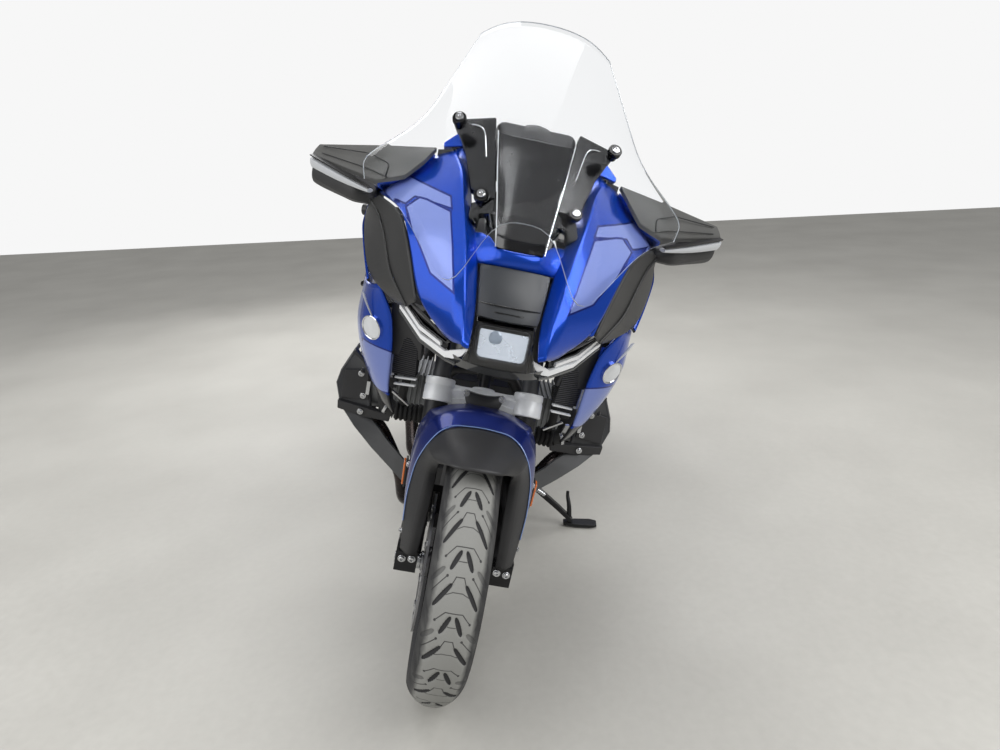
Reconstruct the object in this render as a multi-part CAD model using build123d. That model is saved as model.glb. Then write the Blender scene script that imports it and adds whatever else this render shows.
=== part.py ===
from build123d import *
import math
import os

os.makedirs("parts", exist_ok=True)

# All sizes are millimetres. The motorcycle is drawn upright with x forward from
# the middle of the wheelbase, y to its left and z up, then leant onto its stand.

# Stance
LEAN_DEG = 14.0
SHIFT_X = 57.0
SHIFT_Y = -205.0
WHEELBASE = 1500.0
FRONT_X = WHEELBASE / 2
REAR_X = -WHEELBASE / 2

# Tyres and rims
FRONT_TYRE_R = 300.0
FRONT_TYRE_W = 120.0
REAR_TYRE_R = 320.0
REAR_TYRE_W = 190.0
RIM_SEAT_R = 216.0
RIM_FLANGE_R = 228.0
RIM_WALL = 8.0
FRONT_RIM_W = 89.0
REAR_RIM_W = 152.0
TYRE_GAP = 0.3
SPOKE_PAIRS = 5

# Each axle is as high as sets its tyre's crown on the ground at the lean
LEAN = math.radians(LEAN_DEG)
FRONT_SHOULDER_R = (RIM_SEAT_R + FRONT_TYRE_R) / 2
REAR_SHOULDER_R = (RIM_SEAT_R + REAR_TYRE_R) / 2


def crown_radius(radius, shoulder, width):
    rise = radius - shoulder
    return (rise * rise + width * width / 4) / (2 * rise)


def axle_height(radius, crown):
    return radius - crown + crown / math.cos(LEAN)


FRONT_Z = axle_height(FRONT_TYRE_R, crown_radius(FRONT_TYRE_R, FRONT_SHOULDER_R, FRONT_TYRE_W))
REAR_Z = axle_height(REAR_TYRE_R, crown_radius(REAR_TYRE_R, REAR_SHOULDER_R, REAR_TYRE_W))

# Shafts and running gaps
PIN_GAP = 0.1
AXLE_R = 12.5
AXLE_BORE_R = 9.0
AXLE_BORE_DEEP = 40.0
RACK_HOLE_R = 4.5
STEM_R = 18.0
STAND_PIN_R = 8.0
BALL_R = 14.0
HINGE_PIN_R = 3.0
HINGE_R = 7.0
HINGE_DROP = 8.0
REAR_SPIGOT_R = 34.0
REAR_BORE_R = 27.0
REAR_BORE_DEEP = 60.0

# Front fork and steering
RAKE_DEG = 25.6
STEER_X0 = 866.0
FORK_RAKE_DEG = 22.5
FORK_Y = 106.0
SLIDER_R = 28.0
TUBE_R = 21.0
COLLAR_R = 35.0
COLLAR_LOW = 366.0
COLLAR_TOP = 422.0
FORK_TOP = 748.0
DISC_Y = 67.5
DISC_T = 5.0
DISC_R = 155.0
REAR_DISC_R = 138.0

# Skins, and the room between the front tyre and the belly pan
SKIN = 6.0
SCREEN_T = 4.0
PAN_CLEAR = 26.0

# Panniers
CASE_X0 = -960.0
CASE_X1 = -490.0
CASE_Y0 = 215.0
CASE_SPLIT_Y = 396.0
CASE_Y1 = 462.0
CASE_Z0 = 468.0
CASE_Z1 = 812.0
CASE_WALL = 7.0
LID_GAP = 5.0

# Stands
STAND_PIVOT = (36.0, 186.0, 246.0)
STAND_AXIS_DEG = 28.5
CENTRE_PIVOT_X = -175.0
CENTRE_PIVOT_Z = 200.0
CENTRE_Y = 78.0


def block(x0, x1, y0, y1, z0, z1):
    centre = Pos((x0 + x1) / 2, (y0 + y1) / 2, (z0 + z1) / 2)
    return centre * Box(abs(x1 - x0), abs(y1 - y0), abs(z1 - z0))


def rod(start, end, radius, bore=0.0):
    first = Vector(*start)
    run = Vector(*end) - first
    plane = Plane(origin=first, z_dir=run.normalized())
    solid = extrude(plane * Circle(radius), amount=run.length)
    if bore > 0.0:
        solid -= extrude(plane * Circle(bore), amount=run.length)
    return solid


def bar(start, end, width, height, up=(0, 0, 1)):
    first = Vector(*start)
    run = Vector(*end) - first
    side = Vector(*up).cross(run).normalized()
    plane = Plane(origin=first, x_dir=side, z_dir=run.normalized())
    return extrude(plane * Rectangle(width, height), amount=run.length)


def tube(points, radius, bend, bore=0.0):
    path = FilletPolyline(*points, radius=bend)
    start = Plane(origin=path @ 0, z_dir=path % 0)
    profile = start * Circle(radius)
    if bore > 0.0:
        profile -= start * Circle(bore)
    return sweep(profile, path=path)


def drum(cx, cz, y0, y1, radius, bore=0.0):
    return rod((cx, y0, cz), (cx, y1, cz), radius, bore)


def turned(cx, cz, profile):
    plane = Plane(origin=(cx, 0, cz), x_dir=(0, 1, 0), z_dir=(1, 0, 0))
    face = plane * make_face(Polyline(*profile, close=True))
    return revolve(face, axis=Axis((cx, 0, cz), (0, 1, 0)))


def lofted(table):
    # columns: x, middle y, middle z, width, height, corner radius
    faces = []
    for x, mid_y, mid_z, width, height, corner in table:
        plane = Plane(origin=(x, mid_y, mid_z), x_dir=(0, 1, 0), z_dir=(1, 0, 0))
        faces.append((plane * RectangleRounded(width, height, corner)).faces()[0])
    return loft(faces, ruled=True)


def closed(triangles):
    inside_out = sum(a.dot(b.cross(c)) for a, b, c in triangles) < 0
    faces = []
    for a, b, c in triangles:
        if (b - a).cross(c - a).length < 1e-3:
            continue
        corners = [a, c, b] if inside_out else [a, b, c]
        faces.append(Face(Wire.make_polygon(corners, close=True)))
    return Solid(Shell(faces))


def strip(first, second):
    made = []
    for i in range(len(first) - 1):
        made.append((first[i], first[i + 1], second[i]))
        made.append((first[i + 1], second[i + 1], second[i]))
    return made


def panel(rows, thick):
    # rows of outer points; thick is measured to the right of row x column
    outer = [[Vector(*point) for point in row] for row in rows]
    last_r = len(outer) - 1
    last_c = len(outer[0]) - 1
    inner = []
    for r in range(last_r + 1):
        line = []
        for c in range(last_c + 1):
            down = outer[min(r + 1, last_r)][c] - outer[max(r - 1, 0)][c]
            over = outer[r][min(c + 1, last_c)] - outer[r][max(c - 1, 0)]
            line.append(outer[r][c] + down.cross(over).normalized() * thick)
        inner.append(line)
    made = []
    for r in range(last_r):
        made += strip(outer[r], outer[r + 1])
        made += [(c, b, a) for a, b, c in strip(inner[r], inner[r + 1])]
    for edge_out, edge_in in (
        (outer[0][::-1], inner[0][::-1]),
        (outer[last_r], inner[last_r]),
        ([row[0] for row in outer], [row[0] for row in inner]),
        ([row[last_c] for row in outer][::-1], [row[last_c] for row in inner][::-1]),
    ):
        made += strip(edge_out, edge_in)
    return closed(made)


def rings(loops):
    # loops of points joined one to the next, with flat-fan ends
    hoops = [[Vector(*point) for point in loop] for loop in loops]
    made = []
    for first, second in zip(hoops, hoops[1:]):
        made += strip(first + first[:1], second + second[:1])
    for hoop, turn in ((hoops[0], 1), (hoops[-1], -1)):
        for i in range(1, len(hoop) - 1):
            made.append((hoop[0], hoop[i + 1], hoop[i])[::turn])
    return closed(made)


def flat(points, x0, x1):
    # outline in (y, z) given a depth along x
    plane = Plane(origin=(x0, 0, 0), x_dir=(0, 1, 0), z_dir=(1, 0, 0))
    return extrude(plane * make_face(Polyline(*points, close=True)), amount=x1 - x0)


def profile_y(points, y0, y1):
    # outline in (x, z) given a depth along y
    plane = Plane(origin=(0, y0, 0), x_dir=(1, 0, 0), z_dir=(0, -1, 0))
    return extrude(plane * make_face(Polyline(*points, close=True)), amount=y0 - y1)


def other_side(shape):
    return mirror(shape, about=Plane.XZ)


def both(shape):
    return Compound(shape.solids() + other_side(shape).solids())


def fork_point(along, y):
    angle = math.radians(FORK_RAKE_DEG)
    return (FRONT_X - along * math.sin(angle), y, FRONT_Z + along * math.cos(angle))


def steer_point(z):
    return (STEER_X0 - z * math.tan(math.radians(RAKE_DEG)), 0, z)


parts = {}

# Wheels
# columns: place x, axle z, tyre radius, width, rim width
WHEELS = {
    "front": (FRONT_X, FRONT_Z, FRONT_TYRE_R, FRONT_TYRE_W, FRONT_RIM_W),
    "rear": (REAR_X, REAR_Z, REAR_TYRE_R, REAR_TYRE_W, REAR_RIM_W),
}


def tyre(cx, cz, radius, width, rim_width):
    half = width / 2
    bead = rim_width / 2 - TYRE_GAP
    crown = (RIM_SEAT_R + radius) / 2
    seat = RIM_SEAT_R + TYRE_GAP
    lip = RIM_FLANGE_R + 1.0
    profile = Polyline(
        (-half, crown),
        (-half, (lip + crown) / 2),
        (-bead - 5.0, lip),
        (-bead, lip - 1.0),
        (-bead, seat),
        (bead, seat),
        (bead, lip - 1.0),
        (bead + 5.0, lip),
        (half, (lip + crown) / 2),
        (half, crown),
    )
    arc = ThreePointArc((half, crown), (0, radius), (-half, crown))
    plane = Plane(origin=(cx, 0, cz), x_dir=(0, 1, 0), z_dir=(1, 0, 0))
    face = plane * make_face(profile + arc)
    return revolve(face, axis=Axis((cx, 0, cz), (0, 1, 0)))


def barrel(cx, cz, rim_width):
    half = rim_width / 2
    return turned(
        cx,
        cz,
        [
            (-half - 5.0, RIM_FLANGE_R),
            (-half, RIM_FLANGE_R),
            (-half, RIM_SEAT_R),
            (half, RIM_SEAT_R),
            (half, RIM_FLANGE_R),
            (half + 5.0, RIM_FLANGE_R),
            (half + 5.0, RIM_SEAT_R - RIM_WALL + 2.0),
            (half - 12.0, RIM_SEAT_R - RIM_WALL),
            (half - 26.0, RIM_SEAT_R - 2 * RIM_WALL),
            (26.0 - half, RIM_SEAT_R - 2 * RIM_WALL),
            (12.0 - half, RIM_SEAT_R - RIM_WALL),
            (-half - 5.0, RIM_SEAT_R - RIM_WALL + 2.0),
        ],
    )


def spokes(cx, cz, hub_r, y0, y1):
    made = []
    rim_r = RIM_SEAT_R - 1.5 * RIM_WALL
    plane = Plane(origin=(cx, y0, cz), x_dir=(1, 0, 0), z_dir=(0, 1, 0))
    for side in (1, -1):
        outline = [
            (hub_r - 4.0, side * 4.0),
            (hub_r - 4.0, side * 20.0),
            (rim_r, side * 40.0),
            (rim_r, side * 26.0),
        ]
        face = plane * make_face(Polyline(*outline, close=True))
        made.append(extrude(face, amount=y1 - y0))
    arms = []
    for i in range(SPOKE_PAIRS):
        for one in made:
            turn = 360.0 / SPOKE_PAIRS * i + 18.0
            arms.append(one.rotate(Axis((cx, 0, cz), (0, 1, 0)), turn))
    return arms


for name, (cx, cz, radius, width, rim_width) in WHEELS.items():
    parts[name + "_tyre"] = tyre(cx, cz, radius, width, rim_width)

front_rim = barrel(FRONT_X, FRONT_Z, FRONT_RIM_W)
front_rim += drum(FRONT_X, FRONT_Z, -56.0, 56.0, 34.0)
for arm in spokes(FRONT_X, FRONT_Z, 34.0, -12.0, 12.0):
    front_rim += arm
front_rim -= drum(FRONT_X, FRONT_Z, -60.0, 60.0, AXLE_R + PIN_GAP)
parts["front_rim"] = front_rim

disc = drum(FRONT_X, FRONT_Z, DISC_Y - DISC_T / 2, DISC_Y + DISC_T / 2, DISC_R, 118.0)
disc += drum(FRONT_X, FRONT_Z, 56.0, DISC_Y + DISC_T / 2, 34.0, AXLE_R + PIN_GAP)
for i in range(SPOKE_PAIRS * 2):
    turn = 360.0 / SPOKE_PAIRS / 2 * i
    inner = (FRONT_X, DISC_Y, FRONT_Z + 30.0)
    outer = (FRONT_X + 16.0, DISC_Y, FRONT_Z + 122.0)
    arm = bar(inner, outer, 4.0, 13.0, up=(1, 0, 0))
    disc += arm.rotate(Axis((FRONT_X, 0, FRONT_Z), (0, 1, 0)), turn)
parts["front_discs"] = both(disc)

rear_rim = barrel(REAR_X, REAR_Z, REAR_RIM_W)
rear_rim += drum(REAR_X, REAR_Z, -52.0, 34.0, 62.0)
for arm in spokes(REAR_X, REAR_Z, 62.0, -40.0, -12.0):
    rear_rim += arm
rear_rim -= drum(REAR_X, REAR_Z, -60.0, -20.0, REAR_BORE_R)
rear_rim -= drum(REAR_X, REAR_Z, 14.0, 40.0, REAR_SPIGOT_R + PIN_GAP)
parts["rear_rim"] = rear_rim

rear_disc = drum(REAR_X, REAR_Z, 38.0, 43.0, REAR_DISC_R, 98.0)
rear_disc += drum(REAR_X, REAR_Z, 34.0, 43.0, 60.0, REAR_SPIGOT_R + 2.0)
for i in range(SPOKE_PAIRS * 2):
    turn = 360.0 / SPOKE_PAIRS / 2 * i
    inner = (REAR_X, 40.5, REAR_Z + 54.0)
    outer = (REAR_X + 12.0, 40.5, REAR_Z + 102.0)
    arm = bar(inner, outer, 4.0, 12.0, up=(1, 0, 0))
    rear_disc += arm.rotate(Axis((REAR_X, 0, REAR_Z), (0, 1, 0)), turn)
parts["rear_disc"] = rear_disc

# Front fork

axle = drum(FRONT_X, FRONT_Z, -136.0, 136.0, AXLE_R)
for side in (1, -1):
    axle += drum(FRONT_X, FRONT_Z, side * 70.5, side * 84.0, 19.0)
    axle -= drum(FRONT_X, FRONT_Z, side * 137.0, side * (136.0 - AXLE_BORE_DEEP), AXLE_BORE_R)
parts["front_axle"] = axle

leg = rod(fork_point(20.0, FORK_Y), fork_point(COLLAR_LOW, FORK_Y), SLIDER_R)
leg += block(FRONT_X - 22.0, FRONT_X + 24.0, 84.0, 134.0, FRONT_Z - 20.0, FRONT_Z + 42.0)
leg += block(FRONT_X + 20.0, FRONT_X + 38.0, 86.0, 130.0, FRONT_Z + 6.0, FRONT_Z + 38.0)
leg += block(FRONT_X - 60.0, FRONT_X - 8.0, 84.0, 112.0, FRONT_Z - 6.0, FRONT_Z + 70.0)
leg -= drum(FRONT_X, FRONT_Z, 80.0, 140.0, AXLE_R)
parts["fork_legs"] = both(leg)

# Caliper halves either side of each disc, tied outside its rim
plane = Plane(origin=(FRONT_X, 50.0, FRONT_Z), x_dir=(1, 0, 0), z_dir=(0, 1, 0))
caliper = drum(FRONT_X, FRONT_Z, 48.0, 94.0, 176.0, 112.0)
corners = ((-190.0, 28.0), (-50.0, 28.0), (-100.0, 168.0), (-190.0, 168.0))
keep = profile_y([(FRONT_X + x, FRONT_Z + z) for x, z in corners], 40.0, 100.0)
caliper = caliper & keep
slot = DISC_T / 2 + 5.0
caliper -= drum(FRONT_X, FRONT_Z, DISC_Y - slot, DISC_Y + slot, DISC_R + 5.0, 100.0)
caliper += block(FRONT_X - 100.0, FRONT_X - 38.0, 84.0, 108.0, FRONT_Z + 28.0, FRONT_Z + 70.0)
parts["front_calipers"] = both(caliper)

bridge = rod(fork_point(COLLAR_LOW, FORK_Y), fork_point(COLLAR_TOP, FORK_Y), COLLAR_R)
bridge += other_side(bridge)
bridge += bar(fork_point(384.0, -FORK_Y), fork_point(384.0, FORK_Y), 26.0, 30.0)
bridge += rod(steer_point(626.0), steer_point(668.0), 28.0)
bridge += bar(steer_point(650.0), fork_point(384.0, 0), 60.0, 28.0)
bridge -= rod(steer_point(640.0), steer_point(700.0), BALL_R + PIN_GAP)
tube_hole = rod(fork_point(COLLAR_TOP - 40.0, FORK_Y), fork_point(FORK_TOP, FORK_Y), TUBE_R)
bridge -= tube_hole
bridge -= other_side(tube_hole)
parts["fork_bridge"] = bridge

upper = rod(fork_point(COLLAR_TOP - 40.0, FORK_Y), fork_point(FORK_TOP, FORK_Y), TUBE_R)
yoke_tilt = Rot(0, -RAKE_DEG, 0)
yoke_mid = steer_point(990.0)
yoke = Pos(*yoke_mid) * yoke_tilt * Pos(34.0, 0, 0) * Box(140.0, 276.0, 22.0)
yoke += rod(steer_point(866.0), steer_point(990.0), STEM_R)
yoke += upper
yoke += other_side(upper)
parts["fork_tubes"] = yoke

# Front fender: a U from one fork leg over the tyre to the other, a dark panel
# inside and a painted rim outside. Each row runs from the tyre outwards, with x
# from the axle.
FENDER_PANEL = (
    ((56.0, 88.0, 350.0), (62.0, 108.0, 347.0), (41.0, 127.0, 350.0)),
    ((70.0, 84.0, 417.0), (74.0, 107.0, 418.0), (40.0, 131.0, 418.0)),
    ((64.0, 80.0, 480.0), (68.0, 104.0, 482.0), (34.0, 134.0, 480.0)),
    ((50.0, 78.0, 550.0), (62.0, 100.0, 556.0), (30.0, 127.0, 556.0)),
    ((96.0, 79.0, 592.0), (82.0, 97.0, 602.0), (42.0, 110.0, 606.0)),
    ((126.0, 62.0, 606.0), (88.0, 77.0, 623.0), (26.0, 89.0, 634.0)),
    ((144.0, 45.0, 613.0), (88.0, 50.0, 636.0), (8.0, 61.0, 646.0)),
    ((152.0, 0.0, 617.0), (92.0, 0.0, 641.0), (4.0, 0.0, 650.0)),
)
FENDER_RIM = (
    ((40.0, 131.0, 418.0), (36.0, 132.0, 420.0), (30.0, 133.0, 424.0)),
    ((34.0, 134.0, 480.0), (10.0, 141.0, 484.0), (-18.0, 143.0, 492.0)),
    ((30.0, 127.0, 556.0), (2.0, 138.0, 556.0), (-50.0, 142.0, 550.0)),
    ((42.0, 110.0, 606.0), (2.0, 130.0, 604.0), (-82.0, 138.0, 598.0)),
    ((26.0, 89.0, 634.0), (-26.0, 106.0, 644.0), (-86.0, 118.0, 638.0)),
    ((8.0, 61.0, 646.0), (-56.0, 66.0, 664.0), (-118.0, 66.0, 654.0)),
    ((4.0, 0.0, 650.0), (-58.0, 0.0, 670.0), (-120.0, 0.0, 658.0)),
)


def over_wheel(rows):
    left = [[(FRONT_X + x, y, z) for x, y, z in row] for row in rows]
    right = [[(x, -y, z) for x, y, z in row] for row in left[:-1]]
    return panel(left + right[::-1], SKIN)


fender = over_wheel(FENDER_PANEL)
rim = over_wheel(FENDER_RIM)
for side in (1, -1):
    fender += block(FRONT_X - 44.0, FRONT_X + 46.0, side * 118.0, side * 130.0, 372.0, 400.0)
    rim += block(FRONT_X - 100.0, FRONT_X - 28.0, side * 126.0, side * 138.5, 548.0, 572.0)
parts["fender_panel"] = fender
parts["front_fender"] = rim

# Handlebar with its grips and levers
GRIP_IN = (150.0, 262.0, 1004.0)
GRIP_OUT = (104.0, 392.0, 990.0)
BAR_PATH = [(446.0, 96.0, 1010.0), (400.0, 110.0, 1032.0), (176.0, 196.0, 1012.0), GRIP_IN, GRIP_OUT]
bars = tube(BAR_PATH[:3] + BAR_PATH[4:], 12.0, 30.0)
bars += rod((452.0, 96.0, 1000.0), (440.0, 96.0, 1046.0), 20.0)
bars += block(130.0, 186.0, 236.0, 260.0, 980.0, 1030.0)
bars += tube([(168.0, 250.0, 1004.0), (196.0, 268.0, 1002.0), (164.0, 380.0, 990.0)], 6.0, 12.0)
bars += drum(196.0, 1034.0, 222.0, 248.0, 22.0)
parts["handlebar"] = both(bars)
parts["grips"] = both(rod(GRIP_IN, GRIP_OUT, 17.0))

# Frame, with the steering head, seat rails and rear subframe
head = rod(steer_point(868.0), steer_point(962.0), 32.0, STEM_R + PIN_GAP)
frame = head
for side in (1, -1):
    frame += bar((405.0, side * 34.0, 905.0), (250.0, side * 120.0, 740.0), 34.0, 60.0)
    frame += bar((262.0, side * 118.0, 752.0), (-130.0, side * 120.0, 560.0), 34.0, 50.0)
    frame += bar((-110.0, side * 120.0, 580.0), (-270.0, side * 100.0, 330.0), 36.0, 54.0)
    low = (CENTRE_PIVOT_X, side * 97.0, CENTRE_PIVOT_Z - 12.0)
    frame += bar(low, (-266.0, side * 97.0, 334.0), 8.0, 30.0)
frame += block(-290.0, -240.0, -118.0, 118.0, 300.0, 372.0)
frame += block(236.0, 276.0, -130.0, 130.0, 720.0, 760.0)
frame += drum(CENTRE_PIVOT_X, CENTRE_PIVOT_Z, -100.0, 100.0, STAND_PIN_R)
parts["frame"] = frame

# Rear subframe: a cast plate each side under the seats
SUBFRAME = (
    (-60.0, 664.0),
    (-880.0, 792.0),
    (-880.0, 736.0),
    (-640.0, 676.0),
    (-262.0, 420.0),
    (-214.0, 452.0),
    (-110.0, 580.0),
)
rear_sub = profile_y(SUBFRAME, 92.0, 112.0)
rear_sub += other_side(rear_sub)
rear_sub += block(-880.0, -840.0, -96.0, 96.0, 744.0, 768.0)
rear_sub += block(-400.0, -360.0, -96.0, 96.0, 640.0, 664.0)
parts["rear_subframe"] = rear_sub

# Stays that carry the nose, radiators and side fairings from the frame
STAY = [
    (262.0, 118.0, 762.0),
    (420.0, 206.0, 850.0),
    (600.0, 204.0, 950.0),
    (700.0, 60.0, 985.0),
]
stay = tube(STAY, 10.0, 40.0)
stay += rod((262.0, 118.0, 744.0), (572.0, 196.0, 764.0), 10.0)
stay += rod((262.0, 118.0, 752.0), (330.0, 344.0, 790.0), 9.0)
stay += rod((262.0, 118.0, 762.0), (330.0, 350.0, 905.0), 9.0)
stay += rod((600.0, 196.0, 948.0), (640.0, 312.0, 960.0), 9.0)
parts["fairing_stays"] = both(stay)

# Suspension arm from the engine to the fork bridge, and its strut
arm = rod(steer_point(642.0), steer_point(712.0), BALL_R)
arm += bar((540.0, 0, 702.0), (466.0, 0, 698.0), 40.0, 22.0)
arm += tube([(484.0, 12.0, 698.0), (430.0, 70.0, 676.0), (318.0, 112.0, 600.0)], 14.0, 40.0)
arm += tube([(484.0, -12.0, 698.0), (430.0, -70.0, 676.0), (318.0, -112.0, 600.0)], 14.0, 40.0)
arm += rod((454.0, 0, 690.0), (372.0, 0, 858.0), 30.0)
arm += rod((372.0, 0, 858.0), (352.0, 0, 900.0), 12.0)
parts["suspension_arm"] = arm

# Engine: one plain block with its boxer cylinders
engine = block(-130.0, 322.0, -128.0, 128.0, 210.0, 560.0)
engine += block(-260.0, -130.0, -92.0, 92.0, 250.0, 420.0)
engine += block(60.0, 330.0, -124.0, 124.0, 560.0, 616.0)
parts["engine"] = engine

cylinder = block(150.0, 306.0, 128.0, 262.0, 466.0, 600.0)
cylinder += block(132.0, 318.0, 262.0, 352.0, 476.0, 612.0)
for k in range(5):
    y = 146.0 + 24.0 * k
    cylinder += block(140.0, 314.0, y, y + 8.0, 458.0, 608.0)
parts["cylinders"] = both(cylinder)

# columns: y, z of the guard's front outline
GUARD = ((345.0, 652.0), (376.0, 584.0), (384.0, 545.0), (366.0, 482.0), (276.0, 458.0), (300.0, 600.0))
guard = flat(GUARD, 326.0, 340.0)
side_wall = (
    (356.0, 628.0),
    (376.0, 584.0),
    (384.0, 545.0),
    (366.0, 482.0),
    (358.0, 484.0),
    (375.0, 546.0),
    (368.0, 580.0),
    (350.0, 624.0),
)
guard += flat(side_wall, 190.0, 326.0)
guard += block(220.0, 326.0, 350.0, 366.0, 492.0, 520.0)
lower = rings(
    [
        [(340.0, 366.0, 484.0), (340.0, 276.0, 458.0), (326.0, 276.0, 458.0), (326.0, 366.0, 484.0)],
        [(380.0, 262.0, 392.0), (388.0, 222.0, 426.0), (372.0, 222.0, 426.0), (364.0, 262.0, 392.0)],
        [(420.0, 153.0, 318.0), (424.0, 157.0, 384.0), (408.0, 157.0, 384.0), (404.0, 153.0, 318.0)],
    ]
)
guard += lower
parts["cylinder_guards"] = both(guard)

PAN_X = FRONT_X - FRONT_TYRE_R - PAN_CLEAR
pan = rings(
    [
        [
            (PAN_X, -157.0, 386.0),
            (PAN_X, 157.0, 386.0),
            (PAN_X - 20.0, 153.0, 318.0),
            (PAN_X - 44.0, 90.0, 196.0),
            (PAN_X - 44.0, -90.0, 196.0),
            (PAN_X - 20.0, -153.0, 318.0),
        ],
        [
            (PAN_X - 20.0, -157.0, 386.0),
            (PAN_X - 20.0, 157.0, 386.0),
            (PAN_X - 40.0, 151.0, 318.0),
            (PAN_X - 84.0, 90.0, 186.0),
            (PAN_X - 84.0, -90.0, 186.0),
            (PAN_X - 40.0, -151.0, 318.0),
        ],
    ]
)
pan += block(322.0, PAN_X - 52.0, -70.0, 70.0, 250.0, 300.0)
parts["belly_pan"] = pan

radiator = rings(
    [
        [(606.0, 164.0, 676.0), (594.0, 224.0, 676.0), (610.0, 232.0, 850.0), (640.0, 172.0, 850.0)],
        [(566.0, 160.0, 676.0), (554.0, 218.0, 676.0), (570.0, 226.0, 850.0), (600.0, 168.0, 850.0)],
    ]
)
parts["radiators"] = both(radiator)

HEADER = [
    (250.0, 300.0, 496.0),
    (262.0, 290.0, 438.0),
    (330.0, 244.0, 430.0),
    (358.0, 206.0, 384.0),
    (366.0, 168.0, 322.0),
    (348.0, 152.0, 244.0),
    (240.0, 122.0, 176.0),
    (-60.0, 84.0, 170.0),
]
header = tube(HEADER, 19.0, 26.0)
parts["exhaust_headers"] = both(header)

PIPE = [(-50.0, -60.0, 170.0), (-110.0, -156.0, 176.0), (-330.0, -198.0, 256.0), (-430.0, -204.0, 300.0)]
silencer = tube(PIPE, 24.0, 40.0)
silencer += rod((-400.0, -206.0, 296.0), (-860.0, -216.0, 376.0), 62.0)
silencer += rod((-860.0, -216.0, 376.0), (-900.0, -217.0, 383.0), 34.0, 28.0)
silencer += block(-120.0, 0.0, -84.0, 84.0, 140.0, 184.0)
parts["silencer"] = silencer

# Bodywork: each row of points runs from the middle of the machine outwards
NOSE = (
    (
        (560.0, 150.0, 1215.0),
        (575.0, 168.0, 1200.0),
        (560.0, 200.0, 1185.0),
        (504.0, 256.0, 1150.0),
        (448.0, 334.0, 1076.0),
    ),
    (
        (620.0, 118.0, 1150.0),
        (660.0, 140.0, 1172.0),
        (655.0, 165.0, 1150.0),
        (600.0, 250.0, 1128.0),
        (545.0, 318.0, 1080.0),
    ),
    (
        (650.0, 110.0, 1096.0),
        (702.0, 134.0, 1138.0),
        (711.0, 153.0, 1112.0),
        (668.0, 236.0, 1078.0),
        (664.0, 256.0, 1074.0),
    ),
    (
        (740.0, 92.0, 1062.0),
        (768.0, 116.0, 1080.0),
        (775.0, 140.0, 1052.0),
        (728.0, 212.0, 1046.0),
        (720.0, 232.0, 1042.0),
    ),
    (
        (785.0, 76.0, 1008.0),
        (815.0, 102.0, 1012.0),
        (818.0, 124.0, 998.0),
        (782.0, 182.0, 982.0),
        (764.0, 206.0, 984.0),
    ),
    (
        (846.0, 62.0, 910.0),
        (870.0, 84.0, 930.0),
        (860.0, 112.0, 946.0),
        (832.0, 152.0, 930.0),
        (810.0, 182.0, 914.0),
    ),
    (
        (912.0, 66.0, 864.0),
        (914.0, 80.0, 868.0),
        (885.0, 96.0, 862.0),
        (858.0, 112.0, 862.0),
        (834.0, 126.0, 868.0),
    ),
)
# the rim between the blades, over the radar cover and round the trunk's foot
NOSE_RIM = (
    ((736.0, 99.0, 1060.0), (752.0, 60.0, 1066.0), (794.0, 49.0, 1041.0), (800.0, 0.0, 1044.0)),
    ((784.0, 84.0, 1002.0), (790.0, 64.0, 1005.0), (800.0, 40.0, 1007.0), (806.0, 0.0, 1009.0)),
)
blades = panel(NOSE, -SKIN)
rim_rows = []
for row in NOSE_RIM:
    right = [(x, -y, z) for x, y, z in row[:-1]]
    rim_rows.append(list(row) + right[::-1])
nose = blades + other_side(blades) + panel(rim_rows, SKIN)
parts["nose_fairing"] = nose

INFILL = (
    ((560.0, 316.0, 1074.0), (520.0, 338.0, 1056.0), (474.0, 350.0, 1028.0)),
    ((660.0, 260.0, 1066.0), (602.0, 302.0, 1036.0), (508.0, 348.0, 998.0)),
    ((716.0, 234.0, 1036.0), (660.0, 276.0, 996.0), (584.0, 324.0, 944.0)),
    ((762.0, 208.0, 978.0), (706.0, 252.0, 938.0), (640.0, 298.0, 900.0)),
    ((806.0, 184.0, 908.0), (762.0, 202.0, 886.0), (702.0, 224.0, 872.0)),
)
parts["side_infills"] = both(panel(INFILL, -SKIN))

SIDE = (
    ((428.0, 346.0, 1058.0), (498.0, 348.0, 1000.0), (578.0, 322.0, 940.0), (630.0, 300.0, 898.0)),
    ((360.0, 336.0, 1020.0), (390.0, 346.0, 975.0), (420.0, 345.0, 920.0), (440.0, 332.0, 876.0)),
    ((250.0, 296.0, 975.0), (260.0, 330.0, 940.0), (280.0, 342.0, 896.0), (300.0, 335.0, 862.0)),
    ((110.0, 230.0, 935.0), (120.0, 284.0, 910.0), (150.0, 318.0, 876.0), (190.0, 326.0, 850.0)),
    ((-10.0, 176.0, 890.0), (0.0, 226.0, 868.0), (30.0, 270.0, 842.0), (90.0, 296.0, 824.0)),
)
parts["side_panels"] = both(panel(SIDE, -SKIN))

LOWER = (
    (
        (645.0, 272.0, 896.0),
        (632.0, 238.0, 833.0),
        (622.0, 222.0, 738.0),
        (606.0, 226.0, 644.0),
        (600.0, 200.0, 592.0),
    ),
    (
        (600.0, 304.0, 884.0),
        (588.0, 314.0, 790.0),
        (576.0, 303.0, 727.0),
        (560.0, 264.0, 640.0),
        (562.0, 236.0, 600.0),
    ),
    (
        (450.0, 332.0, 868.0),
        (440.0, 340.0, 780.0),
        (430.0, 328.0, 700.0),
        (430.0, 300.0, 640.0),
        (434.0, 290.0, 624.0),
    ),
    (
        (300.0, 336.0, 856.0),
        (290.0, 344.0, 780.0),
        (290.0, 332.0, 700.0),
        (316.0, 312.0, 654.0),
        (320.0, 308.0, 644.0),
    ),
    (
        (190.0, 328.0, 846.0),
        (190.0, 336.0, 790.0),
        (205.0, 328.0, 730.0),
        (246.0, 312.0, 690.0),
        (256.0, 308.0, 676.0),
    ),
)
parts["lower_fairings"] = both(panel(LOWER, -SKIN))

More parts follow.
